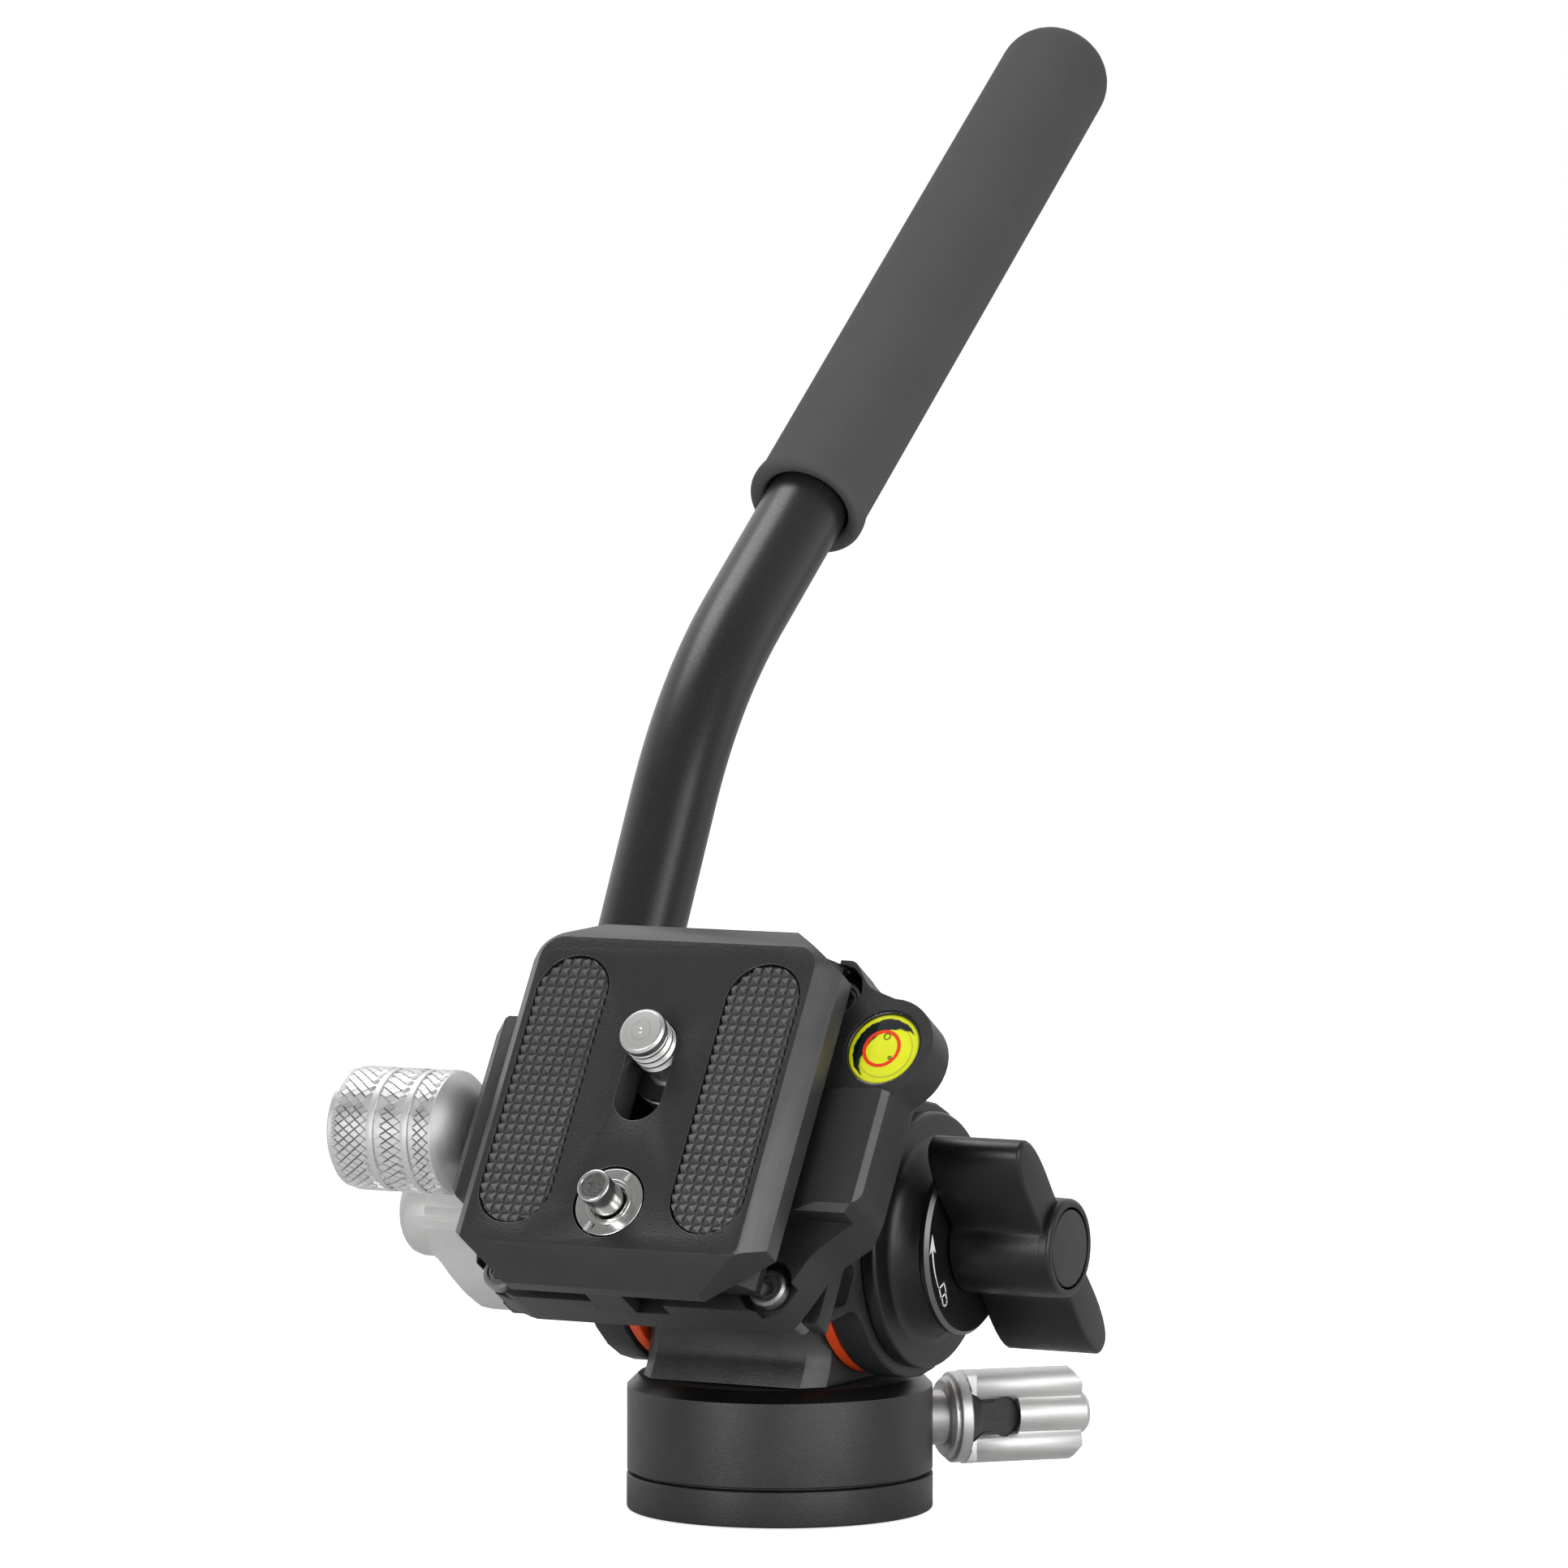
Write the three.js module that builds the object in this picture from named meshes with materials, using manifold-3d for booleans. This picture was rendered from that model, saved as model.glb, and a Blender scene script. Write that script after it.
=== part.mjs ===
// Compact fluid video head, as an assembly of separate pieces.
// Units are millimetres, +Z is up, -Y is the front (where the lens points) and X is the tilt axis.
// The origin is on the pan axis, in the bottom face of the base.
// The head is shown with its platform tilted forward and its handle swung up behind it.

import * as THREE from 'three';
import { mergeVertices } from 'three/addons/utils/BufferGeometryUtils.js';
import Module from 'manifold-3d';

const wasm = await Module();
wasm.setup();

// Fits that every piece shares
const gap = 0.3;
const slidingGap = 0.25;
const lipGap = 0.38;
const overrun = 1;
const weld = 0.0001;
const rimSteps = 38;
const barSteps = 24;
const holeSteps = 12;
const cornerSteps = 3;
const hexSides = 6;
const degree = Math.PI / 180;
const quarterTurn = Math.PI / 2;
const fullTurn = Math.PI * 2;

// Base, pan bearing and pan housing
const base = { radius: 20, discHeight: 4.7, edge: 0.35 };
const insert = { radius: 6.3, bore: 4.0, sink: 0.3 };
const washer = { thickness: 0.2, inset: 0.7, width: 6, lift: 0.15 };
const spindle = { flangeRadius: 9.5, flangeHeight: 2.0, radius: 5.0, socketRadius: 4.6, socketDepth: 3.7 };
const nut = { radius: 7.4, height: 1.8 };
const housing = { wallHeight: 10.9, chamfer: 1.5, drumGap: 0.5, nutPocketRadius: 8.0 };
const panLock = {
  direction: 45, height: 10.8, shaftRadius: 3.6, shoeLength: 3.6, shoeRadius: 3.3,
  collarRadius: 5.4, collarLength: 1.6, neckRadius: 4.9, neckLength: 0.7, collarEdge: 0.5,
  flangeRadius: 6.2, flangeLength: 1.8, standOff: 2.2, flangeEdge: 0.4,
};
const panWing = {
  length: 14.7, reach: 6.2, tipRadius: 2.3, hubRadius: 2.75, hubNose: 1.1, scoopLength: 5.6, tipRound: 1.4,
  webHalf: 1.7,
};

// Saddle that carries the tilt axle
const tilt = { clearance: 0.6, photoAngle: 58.3 };
const saddle = {
  halfWidth: 13.4, drumRadius: 17.5, chamfer: 2.5, footDepth: 15.3, waistDepth: 13.4, footFlare: 1.6,
  footCurve: 3.2, footDrop: 7.5, waistShare: 0.62,
};
const damper = { radius: 13.0, length: 3.2 };
const bush = { radius: 6.5, length: 3.4 };
const axle = { radius: 4.0 };
const lockScrew = { radius: 3.0, grip: 6 };
const ring = { lip: 0.2, thickness: 1.6, innerRadius: 13.8 };
const saddleScrew = {
  radius: 1.5, headRadius: 2.6, headHeight: 1.6, length: 8, spreadX: 9.4, spreadY: 9.2,
};

// Cheeks, covers and the tilt lock
const cheek = {
  thickness: 4.8, lobeLip: 0.5, footWidth: 7.2, footHeight: 3.0, frontReach: 23.4, rearReach: 21.2,
  ledge: 20.9, ledgeRound: 1.2, waist: 15.4, waistHeight: 11.2, waistRound: 3, lobeStart: 8.0,
  pocketDepth: 1.8, pocketInner: 11.0, pocketBottom: 14.2, pocketCorner: 16.2, pocketRise: 20.8,
  pocketOuter: 20.4,
  pocketRound: 1.2,
};
const cover = {
  inset: 1.4, rimLength: 1.8, edge: 0.4, bossBase: 12.9, bossTop: 11.2, bossLength: 3.7,
  bossWaist: 11.5,
};
const dial = { radius: 12.0, thickness: 1.2, edge: 0.3 };
const tiltWing = {
  lean: 40, reach: 18.8, hubRadius: 6.45, length: 13.2, hubLength: 14.2, power: 10, edge: 0.8,
};
const knobCap = { radius: 5.0, thickness: 0.8 };

// Quick-release platform and its jaws
const platform = {
  bottom: 24.5, floor: 33.2, left: 23.8, front: 26.3, rear: 22.2, right: 31.2,
  shoulderX: 20.9, shoulderRound: 3.5, bendX: 24.7, bendY: 17.6, bendRound: 9, cheekY: 11.6,
  cheekRound: 2.8,
  rearTurn: 5.5, rearRound: 6, chamfer: 2, cornerRound: 8, smallRound: 2.6,
  flankHeight: 29.3, flankInset: 3.6, jawTop: 37.35, jawFront: 13.4, jawRear: 3.6, jawChamfer: 0.8,
  jawInner: 25.4,
  jawLip: 35.6, jawRecess: 21.4, recessMargin: 0.6, endChamfer: 0.9,
};
// Raised shelf round the bubble level, with the arm that holds the rear right screw
const shelf = {
  bottom: 30.3, armX: 20.9, armRound: 1.6, bendX: 23.7, bendY: 18.5, bendRound: 4, joinX: 27.9,
};
const bossLevel = { x: 27.9, back: 10.2, radius: 6.9, top: 35.6, boreRadius: 5.3, depth: 4.6 };
const cornerScrew = {
  x: 19.2, front: 22.6, back: 17.9, seat: 31.0, pocketRadius: 3.7, headRadius: 2.55, headHeight: 1.7,
  shankRadius: 1.5, threadLength: 9.5, driveRadius: 1.2, driveDepth: 0.9,
};
const frontNotch = { left: 4.6, right: 5.6, floor: 30.6, depth: 2.2 };
const jaw = {
  outer: 27.8, front: 14.8, back: 11.2, bottom: 26.0, chamfer: 1.6, travel: 3.5, inner: 24.3,
  endChamfer: 2,
};
const guidePin = { radius: 1.5, spread: 9, length: 13 };
const clampAxis = { front: 2.5, belowFloor: 3.0 };
const clampScrew = { radius: 2.0, reach: 5 };
const clampKnob = {
  radius: 8.1, bellDepth: 5.1, bellLength: 4.4, barrelLength: 16.2, bandStarts: [3.3, 8.4], bandGap: 1.1,
  bandDepth: 0.35, endRound: 2.6, bellSteps: 6,
  dishRadius: 4.6, dishDepth: 1.0, screwSocket: 7,
};

// Camera plate and what it carries
const plate = {
  top: 43.6, slab: 5.9, halfWidth: 22.4, front: 27.3, rear: 23.8, sideChamferWidth: 2.5,
  sideChamferDepth: 2.9,
  endChamferWidth: 3.9, endChamferDepth: 3.9, cornerAcross: 8.4, cornerAlong: 6.1,
};
const dovetail = {
  bottom: 33.6, flangeHalf: 19.0, neckHalf: 16.4, flangeHeight: 1.3, rear: 21.8, front: 24.2,
};
const slot = { halfWidth: 3.4, back: 8.7, front: 5.6, headHalfWidth: 6.2, ledge: 38.6 };
const cameraScrew = {
  radius: 3.1, tip: 48.0, back: 5.3, headRadius: 5.7, headHeight: 3.0, tipRound: 0.5, slotWidth: 1.2,
  slotDepth: 1.2,
};
const washerScrew = { outerRadius: 5.5, thickness: 0.5 };
const pad = { across: 13.8, halfWidth: 5.0, back: 17.0, front: 20.5, depth: 1.3, proud: 0.25, fit: 0.3 };
const pinSeat = {
  front: 17.0, radius: 4.7, thickness: 1.1, sink: 0.1, slotWidth: 1.1, slotDepth: 0.5, slotTurn: 62,
};
const videoPin = {
  radius: 2.25, tip: 48.4, tail: 40.2, tipRound: 0.35, travel: 3.5, collarRadius: 2.9,
  collarHeight: 1.0,
};
const pinSpring = { bottom: 35.0, innerRadius: 1.5, outerRadius: 2.3 };
const stopLug = { left: 3.9, right: 1.3, bottom: 31.6, thickness: 1.4, standOff: 0.5 };

// Bubble level
const vial = { radius: 5.0, height: 4.1, dome: 0.35 };

// Handle, its hub and its lock
const handle = {
  plane: 31, lean: 27.5, hubRadius: 10.6, hubHalf: 6.7, hubRound: 1.2, socketRadius: 7.5, socketEnd: 24,
  tubeStart: 12,
  tubeRadius: 5.8, tubeBore: 4.6, straight: 76.5, bend: 24.8, bendLength: 16, tubeTail: 116, tubeSteps: 20,
  tubeSides: 20, boreSides: 12,
};
const grip = {
  start: 38.5, length: 104, radius: 8.0, lip: 0.5, lipLength: 2.6, endRound: 6.6, wallEnd: 12,
};
const leftCover = { radius: 12.4, length: 3.0, edge: 0.4 };
const handleKnob = {
  flangeRadius: 9.0, flangeLength: 1.2, reach: 13.0, wingLength: 5.6, hubRadius: 6.2, hubLength: 16.6,
  power: 6,
  shoulder: 5.2, noseRound: 1.9, lean: 4, tipRound: 1.2,
};

// Outline tools. A corner is [across, up] or [across, up, fillet radius].
const polar = (radius, angle) => [radius * Math.cos(angle), radius * Math.sin(angle)];

function fillet(before, corner, after) {
  const [x, y, radius] = corner;
  if (!radius) return [new THREE.Vector2(x, y)];
  const here = new THREE.Vector2(x, y);
  const back = new THREE.Vector2(before[0], before[1]).sub(here);
  const ahead = new THREE.Vector2(after[0], after[1]).sub(here);
  const cosine = back.dot(ahead) / (back.length() * ahead.length());
  const half = Math.acos(THREE.MathUtils.clamp(cosine, -1, 1)) / 2;
  const reach = Math.min(radius / Math.tan(half), back.length() / 2, ahead.length() / 2);
  const start = here.clone().addScaledVector(back.normalize(), reach);
  const end = here.clone().addScaledVector(ahead.normalize(), reach);
  const bend = new THREE.QuadraticBezierCurve(start, here, end);
  const tangent = reach * Math.tan(half);
  const middle = start.clone().add(end).multiplyScalar(0.5);
  const centre = here.clone().add(middle.sub(here).setLength(Math.hypot(reach, tangent)));
  return bend.getPoints(cornerSteps).map((point) => point.sub(centre).setLength(tangent).add(centre));
}

function outline(corners) {
  const last = corners.length - 1;
  return corners.flatMap((corner, i) =>
    fillet(corners[i ? i - 1 : last], corner, corners[i < last ? i + 1 : 0]));
}

function arc(radius, from, to, steps) {
  return Array.from({ length: steps + 1 }, (_, i) => polar(radius, from + ((to - from) * i) / steps));
}

function circle(x, y, radius, steps) {
  const points = Array.from({ length: steps }, (_, i) => polar(radius, (fullTurn * i) / steps));
  return points.map(([across, up]) => new THREE.Vector2(x + across, y + up));
}

function stadium(x, from, to, halfWidth, steps) {
  const front = arc(halfWidth, 0, Math.PI, steps)
    .map(([across, up]) => new THREE.Vector2(x + across, to - halfWidth + up));
  const back = arc(halfWidth, Math.PI, fullTurn, steps)
    .map(([across, up]) => new THREE.Vector2(x + across, from + halfWidth + up));
  return [...front, ...back];
}

// Two rounded wings on a hub, as one smooth closed curve.
function wingOutline(hubRadius, reach, power, lean, steps) {
  return Array.from({ length: steps }, (_, i) => {
    const angle = (fullTurn * i) / steps;
    const radius = hubRadius + (reach - hubRadius) * Math.abs(Math.cos(angle)) ** power;
    const [across, up] = polar(radius, angle + quarterTurn + lean);
    return new THREE.Vector2(across, up);
  });
}

// Frames: an outline is drawn in the plane and pushed along the last axis.
const axes = {
  up: new THREE.Matrix4(),
  right: new THREE.Matrix4().makeBasis(
    new THREE.Vector3(0, 1, 0), new THREE.Vector3(0, 0, 1), new THREE.Vector3(1, 0, 0)),
  front: new THREE.Matrix4().makeBasis(
    new THREE.Vector3(1, 0, 0), new THREE.Vector3(0, 0, 1), new THREE.Vector3(0, -1, 0)),
};
const lathes = {
  up: new THREE.Matrix4().makeRotationX(quarterTurn),
  right: new THREE.Matrix4().makeRotationZ(-quarterTurn),
};

function prism(corners, from, to, frame = 'up', chamfer = 0) {
  const shape = new THREE.Shape(Array.isArray(corners[0]) ? outline(corners) : corners);
  const geometry = new THREE.ExtrudeGeometry(shape, {
    depth: to - from - 2 * chamfer,
    bevelEnabled: chamfer > 0,
    bevelThickness: chamfer,
    bevelSize: chamfer,
    bevelOffset: -chamfer,
    bevelSegments: 1,
  });
  return geometry.translate(0, 0, from + chamfer).applyMatrix4(axes[frame]);
}

function block([x0, x1], [y0, y1], [z0, z1]) {
  return new THREE.BoxGeometry(x1 - x0, y1 - y0, z1 - z0)
    .translate((x0 + x1) / 2, (y0 + y1) / 2, (z0 + z1) / 2);
}

// A turned piece. Its corners are [radius, distance along the axis, fillet radius].
function turned(corners, frame = 'up', steps = rimSteps) {
  const onAxis = corners[0][0] === 0;
  const points = onAxis
    ? corners.flatMap((corner, i) => fillet(corners[Math.max(i - 1, 0)], i ? corner : corner.slice(0, 2),
      corners[Math.min(i + 1, corners.length - 1)]))
    : outline(corners);
  const closed = onAxis ? points : [...points, points[0].clone()];
  return new THREE.LatheGeometry(closed, steps).applyMatrix4(lathes[frame]);
}

function rod(radius, from, to, frame = 'up', steps = barSteps) {
  return turned([[0, from], [radius, from], [radius, to], [0, to]], frame, steps);
}

function tubeRing(inner, outer, from, to, frame = 'up', steps = barSteps) {
  return turned([[inner, from], [outer, from], [outer, to], [inner, to]], frame, steps);
}

// Solids
function signedVolume(positions, index) {
  const [a, b, c] = [new THREE.Vector3(), new THREE.Vector3(), new THREE.Vector3()];
  let total = 0;
  for (let i = 0; i < index.length; i += 3) {
    a.fromArray(positions, index[i] * 3);
    b.fromArray(positions, index[i + 1] * 3);
    c.fromArray(positions, index[i + 2] * 3);
    total += a.dot(b.cross(c));
  }
  return total;
}

function solid(geometry) {
  const bare = geometry.clone();
  bare.deleteAttribute('normal');
  bare.deleteAttribute('uv');
  const merged = mergeVertices(bare, weld);
  const source = merged.index.array;
  const index = [];
  for (let i = 0; i < source.length; i += 3) {
    const [a, b, c] = source.slice(i, i + 3);
    if (a !== b && b !== c && c !== a) index.push(a, b, c);
  }
  const positions = merged.attributes.position.array;
  if (signedVolume(positions, index) < 0) index.reverse();
  return new wasm.Manifold(new wasm.Mesh({
    numProp: 3,
    vertProperties: Float32Array.from(positions),
    triVerts: Uint32Array.from(index),
  }));
}

const join = (...geometries) => geometries.map(solid).reduce((whole, piece) => whole.add(piece));
const cut = (body, ...geometries) => geometries.map(solid)
  .reduce((whole, piece) => whole.subtract(piece), body);
const keep = (body, geometry) => body.intersect(solid(geometry));

function geometryOf(body) {
  const { vertProperties, triVerts } = body.getMesh();
  const geometry = new THREE.BufferGeometry();
  geometry.setAttribute('position', new THREE.Float32BufferAttribute(vertProperties, 3));
  geometry.setIndex(new THREE.Uint32BufferAttribute(triVerts, 1));
  return geometry;
}

function mesh(name, body, material) {
  const geometry = geometryOf(body);
  geometry.computeVertexNormals();
  const piece = new THREE.Mesh(geometry, material);
  piece.name = name;
  return piece;
}

// Materials
const finish = (color, roughness, metalness) =>
  new THREE.MeshStandardMaterial({ color, roughness, metalness });
const blackAnodised = finish(0x2b2b2d, 0.55, 0.9);
const polishedBlack = finish(0x1c1c1e, 0.25, 0.95);
const silverAnodised = finish(0xc2c2c0, 0.35, 0.95);
const steel = finish(0xb9bbbd, 0.3, 1);
const brass = finish(0xb08d4a, 0.35, 1);
const orangePlastic = finish(0xe8551c, 0.5, 0);
const blackPlastic = finish(0x18181a, 0.6, 0);
const whitePlastic = finish(0xe6e4dd, 0.5, 0);
const rubber = finish(0x1b1b1c, 0.9, 0);
const gripFoam = finish(0x3a3a3b, 0.95, 0);
const levelFluid = finish(0xcfe01c, 0.15, 0);

// Heights along the pan axis, from the base up
const washerBottom = base.discHeight + washer.lift;
const housingBottom = base.discHeight + housing.drumGap;
const housingWallTop = housingBottom + housing.wallHeight;
const housingTop = housingWallTop + housing.chamfer;
const spindleBottom = base.discHeight + gap;
const spindleFlangeTop = spindleBottom + spindle.flangeHeight;
const spindleTop = housingTop - gap;
const nutBottom = spindleTop - nut.height;
const saddleBottom = housingTop + gap;
const lobeRadius = saddle.drumRadius + cheek.lobeLip;
const coverRadius = lobeRadius - cover.inset;
const tiltHeight = housingTop + tilt.clearance + lobeRadius;
const clampHeight = platform.floor - clampAxis.belowFloor;

function tripodBase() {
  const bore = insert.radius + gap;
  const corners = [
    [bore, 0], [base.radius - base.edge, 0], [base.radius, base.edge],
    [base.radius, base.discHeight], [bore, base.discHeight],
  ];
  return mesh('tripod_base', join(turned(corners)), blackAnodised);
}

function tripodInsert() {
  const body = join(tubeRing(insert.bore, insert.radius, insert.sink, base.discHeight));
  return mesh('tripod_thread_insert', body, steel);
}

function panWasher() {
  const outer = base.radius - washer.inset;
  const body = join(tubeRing(outer - washer.width, outer, washerBottom, washerBottom + washer.thickness,
    'up', rimSteps));
  return mesh('pan_thrust_washer', body, blackPlastic);
}

function panSpindle() {
  const socketTop = spindleBottom + spindle.socketDepth;
  const corners = [
    [0, socketTop], [spindle.socketRadius, socketTop], [spindle.socketRadius, spindleBottom],
    [spindle.flangeRadius, spindleBottom], [spindle.flangeRadius, spindleFlangeTop],
    [spindle.radius, spindleFlangeTop], [spindle.radius, spindleTop], [0, spindleTop],
  ];
  return mesh('pan_spindle', join(turned(corners, 'up', barSteps)), steel);
}

function panNut() {
  const body = join(prism(circle(0, 0, nut.radius, hexSides), nutBottom, spindleTop));
  const bored = cut(body, rod(spindle.radius + gap, nutBottom - overrun, spindleTop + overrun));
  return mesh('pan_retaining_nut', bored, brass);
}

const turnToLock = (geometry) => geometry.rotateZ(panLock.direction * degree)
  .translate(0, 0, panLock.height);

function panHousing() {
  const flangeRoom = spindle.flangeRadius + gap;
  const shaftRoom = spindle.radius + gap;
  const flangeRoomTop = spindleFlangeTop + gap;
  const nutRoomBottom = nutBottom - gap;
  const corners = [
    [flangeRoom, housingBottom], [base.radius, housingBottom], [base.radius, housingWallTop],
    [base.radius - housing.chamfer, housingTop], [housing.nutPocketRadius, housingTop],
    [housing.nutPocketRadius, nutRoomBottom], [shaftRoom, nutRoomBottom], [shaftRoom, flangeRoomTop],
    [flangeRoom, flangeRoomTop],
  ];
  const lockBore = turnToLock(rod(panLock.shaftRadius + gap, 0, base.radius + overrun, 'right', holeSteps));
  const screwHoles = saddleScrewPlaces().map(([x, y]) => (
    rod(saddleScrew.radius + gap, housingBottom - overrun, housingTop + overrun, 'up', holeSteps)
      .translate(x, y, 0)));
  const sinks = saddleScrewPlaces().map(([x, y]) => (
    rod(saddleScrew.headRadius + gap, housingBottom - overrun, saddleScrewSeat, 'up', holeSteps)
      .translate(x, y, 0)));
  const body = cut(join(turned(corners)), lockBore, ...screwHoles, ...sinks);
  return mesh('pan_housing', body, blackAnodised);
}

// Two screws hold the saddle down from inside the housing.
const saddleScrewSeat = housingBottom + saddleScrew.headHeight + gap;

function saddleScrewPlaces() {
  return [[-saddleScrew.spreadX, saddleScrew.spreadY], [saddleScrew.spreadX, -saddleScrew.spreadY]];
}

function saddleScrews() {
  return saddleScrewPlaces().map(([x, y], i) => {
    const seat = saddleScrewSeat - gap;
    const corners = [
      [0, seat - saddleScrew.headHeight + gap],
      [saddleScrew.headRadius, seat - saddleScrew.headHeight + gap],
      [saddleScrew.headRadius, seat], [saddleScrew.radius, seat],
      [saddleScrew.radius, saddleBottom + saddleScrew.length / 2],
      [0, saddleBottom + saddleScrew.length / 2],
    ];
    return mesh(`saddle_screw_${i + 1}`, join(turned(corners, 'up', holeSteps).translate(x, y, 0)), steel);
  });
}

function panLockShoe() {
  const from = spindle.radius + gap;
  const body = join(turnToLock(rod(panLock.shoeRadius, from, from + panLock.shoeLength, 'right',
    holeSteps)));
  return mesh('pan_lock_shoe', body, whitePlastic);
}

// Distances of the pan lock knob's steps from the pan axis
const panShaftStart = spindle.radius + gap + panLock.shoeLength + gap;
const panCollarStart = base.radius + panLock.standOff;
const panCollarEnd = panCollarStart + panLock.collarLength;
const panFlangeStart = panCollarEnd + panLock.neckLength;
const panFlangeEnd = panFlangeStart + panLock.flangeLength;
const panWingEnd = panFlangeEnd + panWing.length;

function panLockKnob() {
  const { collarRadius, collarEdge, neckRadius, flangeRadius, flangeEdge } = panLock;
  const stem = turned([
    [0, panShaftStart], [panLock.shaftRadius, panShaftStart], [panLock.shaftRadius, panCollarStart],
    [collarRadius - collarEdge, panCollarStart], [collarRadius, panCollarStart + collarEdge],
    [collarRadius, panCollarEnd], [neckRadius, panCollarEnd], [neckRadius, panFlangeStart],
    [flangeRadius - flangeEdge, panFlangeStart], [flangeRadius, panFlangeStart + flangeEdge],
    [flangeRadius, panFlangeEnd], [0, panFlangeEnd],
  ], 'right', barSteps);
  const nose = panWingEnd + panWing.hubNose;
  const band = turned([
    [0, panFlangeEnd - weld], [panWing.webHalf, panFlangeEnd - weld],
    [panWing.webHalf, panFlangeEnd + panWing.scoopLength],
    [panWing.hubRadius, panFlangeEnd + panWing.scoopLength],
    [panWing.hubRadius, nose - panWing.hubNose / 2],
    [panWing.hubRadius - panWing.hubNose / 2, nose], [0, nose],
  ], 'right', barSteps);
  const reachIn = panWing.reach - panWing.tipRadius;
  const tips = [-reachIn, reachIn].map((up) => prism(
    circle(0, up, panWing.tipRadius, barSteps), panFlangeEnd - weld, panWingEnd, 'right'));
  const half = panWing.webHalf;
  const web = prism([[-half, -reachIn], [half, -reachIn], [half, reachIn], [-half, reachIn]],
    panFlangeEnd - weld, panWingEnd, 'right');
  const { reach, tipRound } = panWing;
  const wings = keep(join(...tips, web), turned([
    [0, panFlangeEnd - overrun], [reach + weld, panFlangeEnd - overrun],
    [reach + weld, panWingEnd - tipRound],
    [reach - tipRound, panWingEnd], [0, panWingEnd],
  ], 'right', barSteps));
  const body = join(stem, band).add(wings);
  return mesh('pan_lock_knob', solid(turnToLock(geometryOf(body))), silverAnodised);
}

// The saddle stands on the pan housing. Its drum is round about the tilt axis.
const ringStart = saddle.halfWidth + gap;
const ringEnd = ringStart + ring.thickness;
const cheekInner = ringEnd + gap;
const cheekOuter = cheekInner + cheek.thickness;
const damperEnd = saddle.halfWidth - gap;
const damperStart = damperEnd - damper.length;
const bushEnd = damperStart - gap;
const bushStart = bushEnd - bush.length;
const axleEnd = cheekInner - gap;

function saddleBody() {
  const foot = saddleBottom - tiltHeight;
  const waist = foot + (saddle.footFlare + saddle.footDepth - saddle.waistDepth);
  const joinAngle = Math.asin(saddle.waistShare);
  const drum = arc(saddle.drumRadius, -joinAngle, Math.PI + joinAngle, rimSteps / 2);
  const rise = -saddle.drumRadius * saddle.waistShare;
  const side = (sign) => [
    [sign * saddle.footDepth, foot - saddle.footDrop],
    [sign * saddle.footDepth, foot],
    [sign * saddle.waistDepth, waist, saddle.footCurve],
    [sign * saddle.waistDepth, (waist + rise) / 2],
  ];
  const corners = [...side(1), ...drum, ...side(-1).reverse()];
  const blank = join(prism(outline(corners), -saddle.halfWidth, saddle.halfWidth, 'right', saddle.chamfer));
  const reach = saddle.halfWidth + overrun;
  const upper = saddle.drumRadius + overrun;
  const flat = solid(block([-reach, reach], [-upper, upper], [foot, upper]));
  const pockets = [1, -1].flatMap((sign) => [
    rod(damper.radius + gap, sign * (damperStart - gap), sign * reach, 'right', barSteps),
    rod(bush.radius + gap, sign * (bushStart - gap), sign * reach, 'right', barSteps),
  ]);
  const screwHoles = saddleScrewPlaces().map(([x, y]) => (
    rod(saddleScrew.radius + gap, foot - overrun, foot + saddleScrew.length / 2 + gap, 'up', holeSteps)
      .translate(x, y, 0)));
  const bored = cut(blank.intersect(flat), rod(axle.radius + gap, -reach, reach, 'right'), ...pockets,
    ...screwHoles);
  return mesh('tilt_saddle', bored, blackAnodised);
}

function pair(name, build) {
  return [['left', -1], ['right', 1]].map(([side, sign]) => build(`${name}_${side}`, sign));
}

const sided = (sign, from, to) => (sign > 0 ? [from, to] : [-to, -from]);

function tiltDampers() {
  return pair('tilt_damper_disc', (name, sign) => mesh(name, join(
    tubeRing(axle.radius + gap, damper.radius, ...sided(sign, damperStart, damperEnd), 'right')),
  blackPlastic));
}

function tiltBushes() {
  return pair('tilt_bush', (name, sign) => mesh(name, join(
    tubeRing(axle.radius + gap, bush.radius, ...sided(sign, bushStart, bushEnd), 'right')), brass));
}

function frictionRings() {
  return pair('friction_ring', (name, sign) => mesh(name, join(
    tubeRing(ring.innerRadius, saddle.drumRadius + ring.lip, ...sided(sign, ringStart, ringEnd), 'right',
      rimSteps)), orangePlastic));
}

function tiltAxle() {
  const body = join(rod(axle.radius, -axleEnd, axleEnd, 'right'));
  const depth = axleEnd - lockScrew.grip - gap;
  const bores = [1, -1].map((sign) =>
    rod(lockScrew.radius + gap, sign * depth, sign * (axleEnd + overrun), 'right', holeSteps));
  return mesh('tilt_axle', cut(body, ...bores), steel);
}

// Cheeks. They hang from the platform and meet the axle at the tilt axis.
const cheekTop = platform.bottom - gap;

function cheekOutline() {
  const { ledge, ledgeRound, waist, waistHeight, waistRound, lobeStart, frontReach, rearReach } = cheek;
  const start = Math.asin(lobeStart / lobeRadius);
  const lobe = arc(lobeRadius, start, -Math.PI - start, rimSteps / 2);
  return [
    [rearReach, cheekTop], [rearReach, ledge, ledgeRound], [waist, waistHeight, waistRound],
    ...lobe,
    [-waist, waistHeight, waistRound], [-frontReach, ledge, ledgeRound], [-frontReach, cheekTop],
  ];
}

function cheekPocket() {
  const { pocketInner, pocketBottom, pocketCorner, pocketRise, pocketOuter, pocketRound } = cheek;
  const top = cheekTop - pocketRound;
  return [
    [-pocketInner, top, pocketRound], [-pocketOuter, top, pocketRound],
    [-pocketOuter, pocketRise, pocketRound],
    [-pocketCorner, pocketBottom, pocketRound], [-pocketInner, pocketBottom, pocketRound],
  ];
}

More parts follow.
